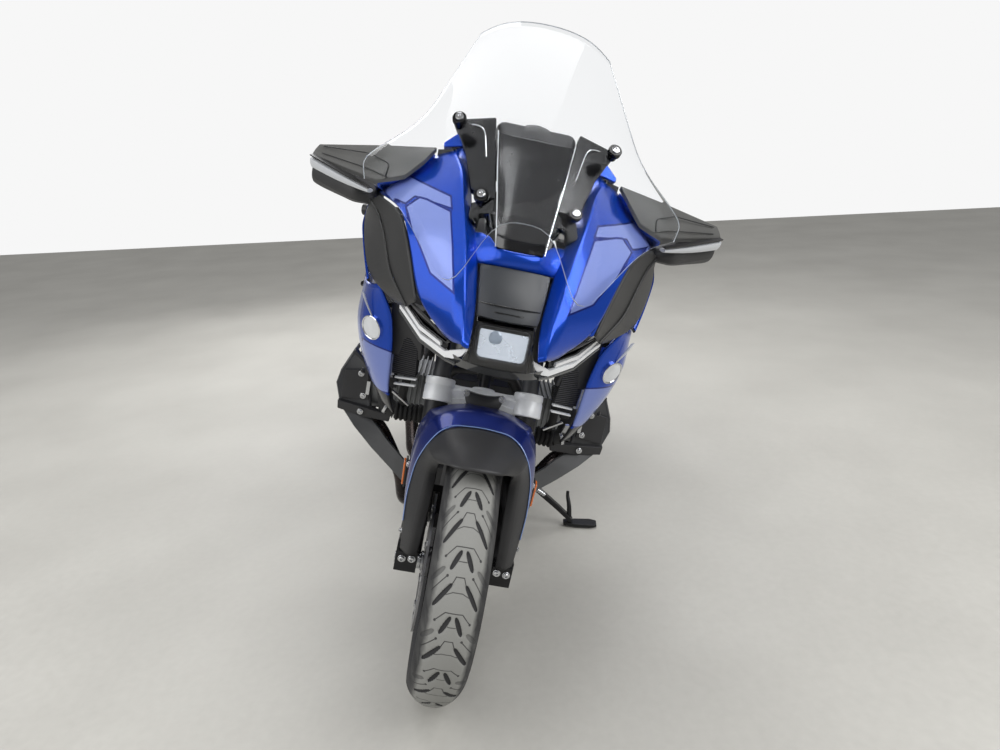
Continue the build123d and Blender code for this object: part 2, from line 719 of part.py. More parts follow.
# Nose frame: the dark body behind the lamps, radar cover and screen base
NOSE_FRAME = (
    # columns: x, middle y, middle z, width, height, corner radius
    (610.0, 0.0, 1010.0, 180.0, 250.0, 20.0),
    (700.0, 0.0, 970.0, 150.0, 240.0, 20.0),
    (770.0, 0.0, 920.0, 124.0, 170.0, 16.0),
)
parts["nose_frame"] = lofted(NOSE_FRAME) + block(560.0, 640.0, -50.0, 50.0, 1090.0, 1180.0)

RADAR = (
    ((785.0, -74.0, 1008.0), (800.0, -30.0, 1012.0), (800.0, 30.0, 1012.0), (785.0, 74.0, 1008.0)),
    ((822.0, -68.0, 960.0), (836.0, -30.0, 962.0), (836.0, 30.0, 962.0), (822.0, 68.0, 960.0)),
    ((846.0, -60.0, 912.0), (858.0, -28.0, 912.0), (858.0, 28.0, 912.0), (846.0, 60.0, 912.0)),
)
parts["radar_cover"] = panel(RADAR, -20.0)

HEADLIGHT = (
    [
        (856.0, 60.0, 850.0),
        (838.0, 84.0, 806.0),
        (838.0, -84.0, 806.0),
        (856.0, -60.0, 850.0),
        (842.0, -58.0, 904.0),
        (842.0, 58.0, 904.0),
    ],
    [
        (770.0, 58.0, 850.0),
        (770.0, 70.0, 822.0),
        (770.0, -70.0, 822.0),
        (770.0, -58.0, 850.0),
        (770.0, -54.0, 900.0),
        (770.0, 54.0, 900.0),
    ],
)
parts["headlight"] = rings(HEADLIGHT)
bezel = bar((676.0, 222.0, 872.0), (736.0, 160.0, 830.0), 22.0, 34.0)
bezel += bar((736.0, 160.0, 830.0), (796.0, 80.0, 812.0), 22.0, 34.0)
parts["headlight"] += bezel + other_side(bezel)
bowl = rod((860.0, 0, 866.0), (800.0, 0, 872.0), 34.0)
parts["headlight"] -= bowl

LENS = (
    ((848.0, -57.0, 904.0), (852.0, 0.0, 904.0), (848.0, 57.0, 904.0)),
    ((862.0, -60.0, 850.0), (868.0, 0.0, 850.0), (862.0, 60.0, 850.0)),
    ((842.0, -84.0, 806.0), (856.0, 0.0, 800.0), (842.0, 84.0, 806.0)),
)
parts["headlight_lens"] = panel(LENS, -3.0)

# Light strips: two rows beside the headlight and one along each mirror
strips = []
for lift, back in ((0.0, 0.0), (17.0, -14.0)):
    path = [
        (690.0 + back, 218.0, 866.0 + lift),
        (750.0 + back, 160.0, 824.0 + lift),
        (806.0 + back, 100.0, 809.0 + lift),
    ]
    for first, second in zip(path, path[1:]):
        strips.append(bar(first, second, 12.0, 9.0))
    strips.append(Pos(*path[1]) * Sphere(6.5))
strip_body = strips[0]
for one in strips[1:]:
    strip_body += one
strip_body += bar((566.0, 357.0, 1071.0), (460.0, 488.0, 1114.0), 8.0, 16.0)
parts["light_strips"] = both(strip_body)

# Windscreen: left half rows from the middle outwards, mirrored for the right
SCREEN = (
    (
        (200.0, 0.0, 1541.0),
        (203.0, 40.0, 1539.0),
        (208.0, 75.0, 1533.0),
        (214.0, 105.0, 1524.0),
        (224.0, 136.0, 1507.0),
        (239.0, 164.0, 1483.0),
    ),
    (
        (340.0, 0.0, 1466.0),
        (338.0, 50.0, 1464.0),
        (336.0, 90.0, 1456.0),
        (334.0, 125.0, 1444.0),
        (334.0, 160.0, 1424.0),
        (336.0, 193.0, 1400.0),
    ),
    (
        (490.0, 0.0, 1378.0),
        (486.0, 52.0, 1375.0),
        (479.0, 100.0, 1367.0),
        (468.0, 145.0, 1354.0),
        (452.0, 186.0, 1336.0),
        (433.0, 222.0, 1317.0),
    ),
    (
        (630.0, 0.0, 1280.0),
        (626.0, 56.0, 1279.0),
        (616.0, 108.0, 1275.0),
        (596.0, 160.0, 1267.0),
        (566.0, 208.0, 1254.0),
        (531.0, 251.0, 1234.0),
    ),
    (
        (712.0, 0.0, 1188.0),
        (710.0, 60.0, 1188.0),
        (702.0, 112.0, 1188.0),
        (676.0, 176.0, 1184.0),
        (624.0, 266.0, 1172.0),
        (556.0, 361.0, 1153.0),
    ),
    (
        (750.0, 0.0, 1138.0),
        (752.0, 63.0, 1136.0),
        (790.0, 113.0, 1068.0),
        (772.0, 168.0, 1076.0),
        (664.0, 262.0, 1124.0),
        (572.0, 354.0, 1128.0),
    ),
    (
        (776.0, 0.0, 1095.0),
        (779.0, 66.0, 1090.0),
        (872.0, 113.0, 953.0),
        (838.0, 160.0, 977.0),
        (696.0, 252.0, 1086.0),
        (587.0, 346.0, 1105.0),
    ),
)
full = []
for row in SCREEN:
    right = [(x, -y, z) for x, y, z in row[1:]]
    full.append(list(row[::-1]) + right)
screen = panel(full, SCREEN_T)
parts["windscreen"] = screen

# Screen mounts: the trunk in the middle, and an arm and two studs each side
trunk = rings(
    [
        [(622.0, -79.0, 1260.0), (622.0, 79.0, 1260.0), (795.0, 48.0, 1040.0), (795.0, -48.0, 1040.0)],
        [(586.0, -79.0, 1240.0), (586.0, 79.0, 1240.0), (759.0, 48.0, 1014.0), (759.0, -48.0, 1014.0)],
    ]
)
arm = rings(
    [
        [
            (552.0, 180.0, 1266.0),
            (576.0, 90.0, 1286.0),
            (762.0, 44.0, 1042.0),
            (744.0, 92.0, 1074.0),
            (676.0, 118.0, 1112.0),
        ],
        [
            (540.0, 178.0, 1255.0),
            (564.0, 90.0, 1274.0),
            (748.0, 44.0, 1030.0),
            (730.0, 92.0, 1062.0),
            (662.0, 118.0, 1100.0),
        ],
    ]
)
STUDS = (
    ((566.0, 156.0, 1250.0), (610.0, 166.0, 1268.0)),
    ((704.0, 88.0, 1104.0), (766.0, 94.0, 1134.0)),
)
for back_end, front_end in STUDS:
    arm += rod(back_end, front_end, 11.0)
parts["screen_mounts"] = trunk + arm + other_side(arm)

COCKPIT = (
    (470.0, 0.0, 1215.0, 176.0, 120.0, 16.0),
    (560.0, 0.0, 1222.0, 172.0, 120.0, 16.0),
    (600.0, 0.0, 1204.0, 156.0, 84.0, 16.0),
)
parts["cockpit"] = lofted(COCKPIT)

# Mirrors, each a dark housing under a flat wing
housing = rings(
    [
        [(525.0, 318.0, 1044.0), (520.0, 318.0, 1070.0), (440.0, 318.0, 1070.0), (440.0, 318.0, 1044.0)],
        [(545.0, 378.0, 1040.0), (536.0, 378.0, 1104.0), (430.0, 376.0, 1150.0), (424.0, 380.0, 1036.0)],
        [(462.0, 486.0, 1072.0), (458.0, 486.0, 1124.0), (400.0, 484.0, 1138.0), (398.0, 492.0, 1044.0)],
    ]
)
WING = (
    (455.0, 477.0, 1152.0),
    (560.0, 205.0, 1200.0),
    (604.0, 225.0, 1170.0),
    (560.0, 322.0, 1106.0),
    (470.0, 488.0, 1130.0),
)
housing += rings([WING, [(x - 4.0, y, z - 10.0) for x, y, z in WING]])
parts["mirror_housings"] = both(housing)
parts["mirror_glasses"] = both(
    rings(
        [
            [(429.0, 386.0, 1138.0), (412.0, 476.0, 1128.0), (410.0, 480.0, 1058.0), (424.0, 390.0, 1048.0)],
            [(417.0, 386.0, 1138.0), (392.0, 476.0, 1128.0), (390.0, 480.0, 1058.0), (412.0, 390.0, 1048.0)],
        ]
    )
)

# Tank, seats and tail
TANK = (
    (300.0, 0.0, 844.0, 200.0, 160.0, 40.0),
    (200.0, 0.0, 844.0, 300.0, 218.0, 60.0),
    (80.0, 0.0, 836.0, 290.0, 202.0, 60.0),
    (-20.0, 0.0, 790.0, 190.0, 130.0, 40.0),
)
parts["tank_cover"] = lofted(TANK)
RIDER_SEAT = (
    (-22.0, 0.0, 800.0, 190.0, 90.0, 30.0),
    (-150.0, 0.0, 776.0, 290.0, 80.0, 30.0),
    (-330.0, 0.0, 786.0, 330.0, 90.0, 30.0),
)
parts["rider_seat"] = lofted(RIDER_SEAT)
PILLION_SEAT = (
    (-331.0, 0.0, 836.0, 310.0, 110.0, 30.0),
    (-520.0, 0.0, 850.0, 320.0, 90.0, 30.0),
    (-700.0, 0.0, 858.0, 260.0, 80.0, 30.0),
)
parts["pillion_seat"] = lofted(PILLION_SEAT)
TAIL = (
    (-60.0, 0.0, 700.0, 270.0, 60.0, 12.0),
    (-330.0, 0.0, 716.0, 330.0, 64.0, 12.0),
    (-700.0, 0.0, 786.0, 300.0, 64.0, 12.0),
    (-960.0, 0.0, 832.0, 230.0, 56.0, 12.0),
)
parts["tail_fairing"] = lofted(TAIL)
rack = block(-960.0, -702.0, -130.0, 130.0, 872.0, 888.0)
for side in (1, -1):
    rail = [(-380.0, 176.0, 830.0), (-440.0, 196.0, 890.0), (-800.0, 180.0, 900.0), (-880.0, 120.0, 880.0)]
    rack += tube([(x, side * y, z) for x, y, z in rail], 13.0, 30.0)
    rack += bar((-360.0, side * 160.0, 800.0), (-384.0, side * 176.0, 836.0), 24.0, 30.0)
for x in (-930.0, -770.0):
    for y in (-90.0, 90.0):
        rack -= Pos(x, y, 880.0) * Cylinder(RACK_HOLE_R, 40.0)
parts["luggage_rack"] = rack
parts["tail_light"] = rings(
    [
        [(-958.0, -110.0, 812.0), (-958.0, 110.0, 812.0), (-958.0, 104.0, 850.0), (-958.0, -104.0, 850.0)],
        [(-992.0, -96.0, 816.0), (-992.0, 96.0, 816.0), (-982.0, 90.0, 850.0), (-982.0, -90.0, 850.0)],
    ]
)
holder = bar((-900.0, 0, 800.0), (-1120.0, 0, 650.0), 120.0, 16.0)
holder += bar((-1096.0, 0, 746.0), (-1160.0, 0, 560.0), 210.0, 8.0)
parts["plate_holder"] = holder

# Swingarm and final drive on the left side, with the rear caliper
arm = block(-292.0, -232.0, 119.0, 160.0, 296.0, 376.0)
arm += rings(
    [
        [(-250.0, 119.0, 300.0), (-250.0, 166.0, 300.0), (-250.0, 166.0, 372.0), (-250.0, 119.0, 372.0)],
        [
            (REAR_X + 90.0, 108.0, REAR_Z - 43.0),
            (REAR_X + 90.0, 172.0, REAR_Z - 43.0),
            (REAR_X + 90.0, 172.0, REAR_Z + 43.0),
            (REAR_X + 90.0, 108.0, REAR_Z + 43.0),
        ],
    ]
)
arm += drum(REAR_X, REAR_Z, 108.0, 176.0, 98.0)
arm += drum(REAR_X, REAR_Z, 54.0, 120.0, 74.0)
arm += drum(REAR_X, REAR_Z, 22.0, 60.0, REAR_SPIGOT_R)
arm -= drum(REAR_X, REAR_Z, 176.0 - REAR_BORE_DEEP, 190.0, REAR_BORE_R)
rear_caliper = drum(REAR_X, REAR_Z, 22.0, 74.0, 160.0, 100.0)
rear_caliper = rear_caliper & block(REAR_X - 130.0, REAR_X - 30.0, 10.0, 90.0, REAR_Z + 27.0, REAR_Z + 117.0)
rear_caliper -= drum(REAR_X, REAR_Z, 40.5 - 7.5, 40.5 + 7.5, REAR_DISC_R + 5.0, 90.0)
arm += rear_caliper
tie_low = (REAR_X - 20.0, 64.0, REAR_Z + 47.0)
arm += bar(tie_low, (REAR_X - 50.0, 64.0, REAR_Z + 87.0), 20.0, 30.0, up=(0, 1, 0))
parts["swingarm"] = arm

peg = rod((-110.0, 116.0, 330.0), (-110.0, 300.0, 338.0), 12.0)
peg += bar((-150.0, 140.0, 470.0), (-110.0, 140.0, 330.0), 26.0, 30.0)
peg += bar((-150.0, 100.0, 470.0), (-150.0, 152.0, 470.0), 30.0, 30.0)
parts["footrests"] = both(peg)

# Panniers
case = block(CASE_X0, CASE_X1, CASE_Y0, CASE_SPLIT_Y, CASE_Z0, CASE_Z1)
case -= block(
    CASE_X0 + CASE_WALL,
    CASE_X1 - CASE_WALL,
    CASE_Y0 + CASE_WALL,
    CASE_SPLIT_Y + 1.0,
    CASE_Z0 + CASE_WALL,
    CASE_Z1 - CASE_WALL,
)
case += bar((-620.0, 150.0, 790.0), (-620.0, 216.0, 790.0), 40.0, 20.0)
case += bar((-860.0, 110.0, 800.0), (-860.0, 216.0, 790.0), 40.0, 20.0)
hinge_y = CASE_SPLIT_Y + LID_GAP / 2
hinge_z = CASE_Z0 - HINGE_DROP
for x in (CASE_X0 + 60.0, CASE_X1 - 60.0):
    for near, far in ((-40.0, -14.0), (14.0, 40.0)):
        case += rod((x + near, hinge_y, hinge_z), (x + far, hinge_y, hinge_z), HINGE_R)
        case += block(x + near, x + far, CASE_SPLIT_Y - 12.0, hinge_y, hinge_z - 4.0, CASE_Z0 + 1.0)
    case += rod((x - 14.0, hinge_y, hinge_z), (x + 14.0, hinge_y, hinge_z), HINGE_PIN_R)
parts["pannier_bodies"] = both(case)
lid = block(CASE_X0, CASE_X1, CASE_SPLIT_Y + LID_GAP, CASE_Y1, CASE_Z0, CASE_Z1)
lid -= block(
    CASE_X0 + CASE_WALL,
    CASE_X1 - CASE_WALL,
    CASE_SPLIT_Y - 1.0,
    CASE_Y1 - CASE_WALL,
    CASE_Z0 + CASE_WALL,
    CASE_Z1 - CASE_WALL,
)
for x in (CASE_X0 + 60.0, CASE_X1 - 60.0):
    lid += rod((x - 13.0, hinge_y, hinge_z), (x + 13.0, hinge_y, hinge_z), HINGE_R)
    lid += block(x - 13.0, x + 13.0, hinge_y, CASE_SPLIT_Y + 16.0, hinge_z - 4.0, CASE_Z0 + 1.0)
    lid -= rod((x - 14.0, hinge_y, hinge_z), (x + 14.0, hinge_y, hinge_z), HINGE_PIN_R + PIN_GAP)
parts["pannier_lid_left"] = lid
parts["pannier_lid_right"] = other_side(lid)

# Side stand, out and taking the lean
angle = math.radians(STAND_AXIS_DEG)
pin_dir = (0.0, math.sin(angle), math.cos(angle))
px, py, pz = STAND_PIVOT


def on_pin(along, inward=0.0):
    y = py + along * pin_dir[1] - inward * pin_dir[2]
    return (px, y, pz + along * pin_dir[2] + inward * pin_dir[1])


pin_low = on_pin(-27.0)
pin_top = on_pin(27.0)
eye_low = on_pin(-14.0)
eye_top = on_pin(14.0)
stand = rod(eye_low, eye_top, 20.0)
stand += bar(STAND_PIVOT, (76.0, 404.0, 128.0), 30.0, 22.0)
stand += bar((72.0, 385.0, 134.0), (86.0, 484.0, 126.0), 50.0, 24.0)
stand += bar((74.0, 380.0, 130.0), (52.0, 372.0, 212.0), 12.0, 14.0, up=(0, 1, 0))
stand -= rod(pin_low, pin_top, STAND_PIN_R + PIN_GAP)
ground = Rot(LEAN_DEG, 0, 0) * Pos(0, 0, -500.0) * Box(4000.0, 4000.0, 1000.0)
stand -= ground
parts["side_stand"] = stand

lug = rod(pin_low, pin_top, STAND_PIN_R)
for low, high in ((15.0, 27.0), (-27.0, -15.0)):
    lug += rod(on_pin(low), on_pin(high), 18.0)
    middle = (low + high) / 2
    lug += bar(on_pin(middle), on_pin(middle, 84.0), 36.0, high - low, up=pin_dir)
parts["stand_bracket"] = lug

foot_x = CENTRE_PIVOT_X - 222.0
centre = drum(CENTRE_PIVOT_X, CENTRE_PIVOT_Z, -CENTRE_Y - 8.0, CENTRE_Y + 8.0, 15.0)
for side in (1, -1):
    pivot = (CENTRE_PIVOT_X, side * CENTRE_Y, CENTRE_PIVOT_Z)
    centre += bar(pivot, (foot_x, side * 112.0, 196.0), 14.0, 28.0)
    centre += bar((foot_x, side * 96.0, 196.0), (foot_x, side * 136.0, 196.0), 40.0, 22.0)
mid_x = CENTRE_PIVOT_X - 120.0
centre += bar((mid_x, -96.0, 198.0), (mid_x, 96.0, 198.0), 22.0, 22.0)
centre -= drum(CENTRE_PIVOT_X, CENTRE_PIVOT_Z, -140.0, 140.0, STAND_PIN_R + PIN_GAP)
parts["centre_stand"] = centre

# Each piece ends where the piece it is fixed to begins
FITTED = (
    ("frame", "engine"),
    ("belly_pan", "engine"),
    ("rear_subframe", "frame"),
    ("rear_subframe", "engine"),
    ("fairing_stays", "frame"),
    ("fairing_stays", "nose_frame"),
    ("fairing_stays", "radiators"),
    ("fairing_stays", "lower_fairings"),
    ("fairing_stays", "side_panels"),
    ("fairing_stays", "side_infills"),
    ("fork_bridge", "fork_legs"),
    ("fender_panel", "fork_legs"),
    ("footrests", "rear_subframe"),
    ("tail_fairing", "rear_subframe"),
    ("rider_seat", "rear_subframe"),
    ("pannier_bodies", "rear_subframe"),
    ("cockpit", "nose_frame"),
    ("headlight", "light_strips"),
    ("headlight", "nose_frame"),
    ("side_infills", "headlight"),
    ("headlight_lens", "headlight"),
    ("headlight_lens", "nose_fairing"),
    ("radar_cover", "nose_frame"),
    ("cylinder_guards", "cylinders"),
    ("side_infills", "mirror_housings"),
    ("side_panels", "mirror_housings"),
    ("nose_fairing", "mirror_housings"),
    ("screen_mounts", "cockpit"),
    ("radar_cover", "nose_fairing"),
    ("fender_panel", "fork_bridge"),
    ("front_fender", "fork_bridge"),
    ("mirror_glasses", "mirror_housings"),
    ("tank_cover", "rear_subframe"),
    ("suspension_arm", "engine"),
    ("suspension_arm", "frame"),
    ("exhaust_headers", "engine"),
    ("exhaust_headers", "cylinders"),
    ("silencer", "exhaust_headers"),
    ("stand_bracket", "engine"),
    ("footrests", "engine"),
    ("footrests", "frame"),
    ("swingarm", "frame"),
    ("front_calipers", "fork_legs"),
    ("handlebar", "fork_tubes"),
    ("grips", "handlebar"),
    ("tank_cover", "frame"),
    ("rider_seat", "tail_fairing"),
    ("rider_seat", "tank_cover"),
    ("pillion_seat", "tail_fairing"),
    ("pillion_seat", "luggage_rack"),
    ("tail_fairing", "frame"),
    ("light_strips", "mirror_housings"),
    ("screen_mounts", "nose_frame"),
    ("screen_mounts", "windscreen"),
    ("nose_fairing", "screen_mounts"),
    ("nose_fairing", "windscreen"),
    ("side_infills", "nose_fairing"),
    ("pannier_bodies", "tail_fairing"),
    ("pannier_bodies", "frame"),
    ("plate_holder", "tail_fairing"),
    ("tail_light", "tail_fairing"),
    ("front_fender", "fender_panel"),
    ("front_fender", "fork_legs"),
)
for piece, host in FITTED:
    parts[piece] = Compound((parts[piece] - parts[host]).solids())

# Lean the machine and set the origin below the middle of its outline
lean = Pos(SHIFT_X, SHIFT_Y, 0) * Rot(-LEAN_DEG, 0, 0)
for name, shape in parts.items():
    placed = lean * shape
    export_step(Compound(placed.solids()), "parts/" + name + ".step")
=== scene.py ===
"""Looks of a touring motorcycle that leans on its side stand.

Every piece is drawn in millimetres on the upright machine, x forward from the
middle of the wheelbase, y to its left and z up, and is then leant into the frame.
"""
import logging
import math
from dataclasses import dataclass
from enum import Enum
from typing import Iterable, Optional, Sequence, Union

import bmesh
import bpy
from mathutils import Matrix, Vector


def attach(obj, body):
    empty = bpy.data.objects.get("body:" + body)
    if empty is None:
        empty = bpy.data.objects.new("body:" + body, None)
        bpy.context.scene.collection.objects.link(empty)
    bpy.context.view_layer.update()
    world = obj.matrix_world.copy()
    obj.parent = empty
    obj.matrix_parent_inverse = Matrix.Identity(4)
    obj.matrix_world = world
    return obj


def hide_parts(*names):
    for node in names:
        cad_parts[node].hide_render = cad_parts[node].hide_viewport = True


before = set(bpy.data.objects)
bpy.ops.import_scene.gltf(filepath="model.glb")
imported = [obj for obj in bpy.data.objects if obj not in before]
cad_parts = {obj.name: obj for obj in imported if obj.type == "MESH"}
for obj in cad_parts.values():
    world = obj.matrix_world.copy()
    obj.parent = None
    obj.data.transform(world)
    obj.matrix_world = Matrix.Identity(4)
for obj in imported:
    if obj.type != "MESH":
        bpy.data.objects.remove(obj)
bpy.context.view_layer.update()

LOG = logging.getLogger("motorcycle")

Point = tuple[float, float, float]
Pair = tuple[float, float]
Colour = tuple[float, float, float]
Rows = Sequence[Sequence[Point]]
Section = tuple[float, float, float, float, float]
Value = Union["Flow", float]
Vert = bmesh.types.BMVert

PER_METRE = 1000.0
LEAN = math.radians(14.0)
SHIFT = (57.0, -205.0, 0.0)
PLACE = (
    Matrix.Translation([value / PER_METRE for value in SHIFT]) @ Matrix.Rotation(-LEAN, 4, "X")
)
FRONT_HUB: Point = (750.0, 0.0, 301.95)
REAR_HUB: Point = (-750.0, 0.0, 323.45)
FORK_RAKE = math.radians(22.5)
SMOOTH_UNDER = math.radians(40.0)
WELD = 1e-6
# how a pipe's corner is rounded: its edges, and the most of a run that it takes
BEND_EDGES = 5
BEND_SHARE = 0.45
# a direction that no pipe starts along
ASKEW = (0.31, 0.47, 0.83)


class Body(str, Enum):
    """The bodies that pieces ride on."""

    CHASSIS = "chassis"
    STEERING = "steering"
    FRONT_WHEEL = "front_wheel"
    REAR_WHEEL = "rear_wheel"
    SIDE_STAND = "side_stand"
    LID_LEFT = "pannier_lid_left"
    LID_RIGHT = "pannier_lid_right"


class Sides(Enum):
    """Which sides of the machine a piece is made for."""

    ONE = 1
    BOTH = 2


# Shader values


class Flow:
    """A socket of a node tree that takes part in arithmetic."""

    def __init__(self, graph: "Graph", socket: bpy.types.NodeSocket) -> None:
        """Wraps a socket.

        Args:
            graph: The graph that the socket belongs to.
            socket: The output socket.
        """
        self.graph = graph
        self.socket = socket

    def _math(self, operation: str, first: Value, second: Value = 0.0) -> "Flow":
        """Returns a Math node's result on two values."""
        return self.graph.node("ShaderNodeMath", {"operation": operation}, {0: first, 1: second})

    def __add__(self, other: Value) -> "Flow":
        """Returns self + other."""
        return self._math("ADD", self, other)

    def __sub__(self, other: Value) -> "Flow":
        """Returns self - other."""
        return self._math("SUBTRACT", self, other)

    def __rsub__(self, other: Value) -> "Flow":
        """Returns other - self."""
        return self._math("SUBTRACT", other, self)

    def __mul__(self, other: Value) -> "Flow":
        """Returns self * other."""
        return self._math("MULTIPLY", self, other)

    def __gt__(self, other: Value) -> "Flow":
        """Returns 1 where self is above other, else 0."""
        return self._math("GREATER_THAN", self, other)

    def least(self, other: Value) -> "Flow":
        """Returns the lesser of self and other."""
        return self._math("MINIMUM", self, other)

    def most(self, other: Value) -> "Flow":
        """Returns the greater of self and other."""
        return self._math("MAXIMUM", self, other)

    def size(self) -> "Flow":
        """Returns the absolute value."""
        return self._math("ABSOLUTE", self)

    def root(self) -> "Flow":
        """Returns the square root."""
        return self._math("SQRT", self)

    def fraction(self) -> "Flow":
        """Returns the part after the point."""
        return self._math("FRACT", self)

    def wave(self) -> "Flow":
        """Returns the sine."""
        return self._math("SINE", self)

    def fit(self, low: float, high: float, new_low: Value = 0.0, new_high: Value = 1.0) -> "Flow":
        """Returns self mapped from one range to another and held inside it."""
        return self.graph.node(
            "ShaderNodeMapRange", {"clamp": True}, {0: self, 1: low, 2: high, 3: new_low, 4: new_high}
        )


class Graph:
    """The nodes of one material or world."""

    def __init__(self, owner: Union[bpy.types.Material, bpy.types.World], shader: str) -> None:
        """Opens an owner's nodes.

        Args:
            owner: The material or world.
            shader: The name of its shader node.
        """
        owner.use_nodes = True
        self.owner = owner
        self.tree = owner.node_tree
        self.shader = self.tree.nodes[shader]

    @classmethod
    def surface(cls, name: str) -> "Graph":
        """Starts a material with one Principled shader."""
        return cls(bpy.data.materials.new(name), "Principled BSDF")

    def node(self, kind: str, settings: dict, inputs: dict, output: Union[int, str] = 0) -> Flow:
        """Adds a node.

        Args:
            kind: Its type.
            settings: Properties, set before the sockets.
            inputs: Values or flows by socket name or number.
            output: Which output to return, by number or name.

        Returns:
            The chosen output.
        """
        made = self.tree.nodes.new(kind)
        for key, value in settings.items():
            setattr(made, key, value)
        for key, value in inputs.items():
            self.feed(made.inputs[key], value)
        return Flow(self, made.outputs[output])

    def feed(self, socket: bpy.types.NodeSocket, value: object) -> None:
        """Sets a socket to a number, a colour or a flow."""
        if isinstance(value, Flow):
            self.tree.links.new(value.socket, socket)
        elif isinstance(value, tuple) and len(value) == 3 and socket.type == "RGBA":
            socket.default_value = (*value, 1.0)
        else:
            socket.default_value = value

    def shade(self, **inputs: object) -> Union[bpy.types.Material, bpy.types.World]:
        """Sets the shader's sockets by name and returns the owner."""
        for key, value in inputs.items():
            self.feed(self.shader.inputs[key.replace("_", " ")], value)
        return self.owner

    def place(self, output: int = 3) -> Flow:
        """Returns texture coordinates, the object's own unless told otherwise."""
        return self.node("ShaderNodeTexCoord", {}, {}, output)

    def part(self, vector: Flow, axis: int) -> Flow:
        """Returns one component of a vector."""
        return self.node("ShaderNodeSeparateXYZ", {}, {0: vector}, axis)

    def noise(self, scale: float, detail: float = 2.0, stretch: Point = (1.0, 1.0, 1.0)) -> Flow:
        """Returns noise of so many cells a metre."""
        spot = self.node("ShaderNodeVectorMath", {"operation": "MULTIPLY"}, {0: self.place(), 1: stretch})
        return self.node("ShaderNodeTexNoise", {}, {"Vector": spot, "Scale": scale, "Detail": detail})

    def mix(self, factor: Value, first: object, second: object) -> Flow:
        """Returns a colour between two by a factor."""
        return self.node("ShaderNodeMix", {"data_type": "RGBA"}, {0: factor, 6: first, 7: second}, 2)

    def bump(self, height: Flow, distance: float, strength: float = 1.0) -> Flow:
        """Returns a normal bent by a height in metres times distance."""
        return self.node(
            "ShaderNodeBump", {}, {"Strength": strength, "Distance": distance, "Height": height}
        )


# Finishes

MADE: dict[str, bpy.types.Material] = {}


@dataclass(frozen=True)
class Finish:
    """A surface finish; each kind of finish draws its own nodes."""

    name: str
    colour: Colour = (0.5, 0.5, 0.5)
    rough: float = 0.4
    metal: float = 0.0

    def material(self) -> bpy.types.Material:
        """Returns the finish's material, made once."""
        if self.name not in MADE:
            MADE[self.name] = self.draw(Graph.surface(self.name))
        return MADE[self.name]

    def draw(self, graph: Graph) -> bpy.types.Material:
        """Draws the nodes of a plain satin surface with faint cloudiness."""
        cloud = graph.noise(14.0, 3.0)
        dark = tuple(part * 0.82 for part in self.colour)
        return graph.shade(
            Base_Color=graph.mix(cloud, dark, self.colour), Metallic=self.metal,
            Roughness=cloud.fit(0.3, 0.7, self.rough - 0.04, self.rough + 0.05),
        )


@dataclass(frozen=True)
class DecorField:
    """A flat-coloured field on a painted panel, made of convex outlines.

    Corners are in millimetres on the upright machine, seen along one axis and the
    same on both sides, taken in turn with the field on the left of each edge.
    """

    outlines: tuple[tuple[Pair, ...], ...]
    colour: Colour
    axes: tuple[int, int] = (1, 2)
    line: float = 4.0
    line_colour: Colour = (0.006, 0.02, 0.2)
    metal: float = 0.35


@dataclass(frozen=True)
class Paint(Finish):
    """Clear-coated metallic paint, with fine flakes and any decor fields."""

    decor: tuple[DecorField, ...] = ()
    blur: float = 0.25

    def field_depth(self, graph: Graph, one: DecorField) -> Flow:
        """Returns how far inside a field a point is, in millimetres.

        Args:
            graph: The material's nodes.
            one: The field.

        Returns:
            The depth, below 0 outside.
        """
        spot = graph.place()
        over = graph.part(spot, one.axes[0]) * PER_METRE
        if one.axes[0] == 1:
            over = over.size()
        along = graph.part(spot, one.axes[1]) * PER_METRE
        deepest: Optional[Flow] = None
        for corners in one.outlines:
            inside: Optional[Flow] = None
            for (u0, v0), (u1, v1) in zip(corners, corners[1:] + corners[:1]):
                run = math.hypot(u1 - u0, v1 - v0)
                side_u, side_v = -(v1 - v0) / run, (u1 - u0) / run
                edge = over * side_u + along * side_v - (u0 * side_u + v0 * side_v)
                inside = edge if inside is None else inside.least(edge)
            deepest = inside if deepest is None else deepest.most(inside)
        return deepest

    def draw(self, graph: Graph) -> bpy.types.Material:
        """Draws flakes, a soft orange peel and the decor fields."""
        flake = graph.noise(2600.0, 1.0)
        deep = tuple(part * 0.55 for part in self.colour)
        base = graph.mix(flake.fit(0.35, 0.65), deep, self.colour)
        metal: Value = self.metal
        for one in self.decor:
            inside = self.field_depth(graph, one)
            mask = inside.fit(-self.blur, self.blur)
            border = inside.fit(-one.line - self.blur, -one.line + self.blur)
            base = graph.mix(border, base, one.line_colour)
            base = graph.mix(mask, base, one.colour)
            metal = (1.0 - mask) * metal + mask * one.metal
        peel = graph.noise(260.0, 1.0)
        return graph.shade(
            Base_Color=base,
            Metallic=metal,
            Roughness=flake.fit(0.3, 0.7, self.rough - 0.05, self.rough + 0.05),
            Coat_Weight=0.45,
            Coat_Roughness=0.03,
            Specular_IOR_Level=0.15,
            Normal=graph.bump(peel, 0.00008),
        )


@dataclass(frozen=True)
class Grained(Finish):
    """Moulded plastic with a leather-like grain."""

    grain: float = 900.0
    depth: float = 0.00016

    def draw(self, graph: Graph) -> bpy.types.Material:
        """Draws the grain as bump, duller in its hollows."""
        cells = graph.node(
            "ShaderNodeTexVoronoi", {"feature": "F1"}, {"Vector": graph.place(), "Scale": self.grain}
        )
        cloud = graph.noise(9.0, 4.0)
        dark = tuple(part * 0.7 for part in self.colour)
        return graph.shade(
            Base_Color=graph.mix(cloud.fit(0.3, 0.7), dark, self.colour),
            Metallic=self.metal,
            Roughness=cells.fit(0.0, 0.7, self.rough - 0.08, self.rough + 0.08),
            Normal=graph.bump(cells, self.depth),
        )


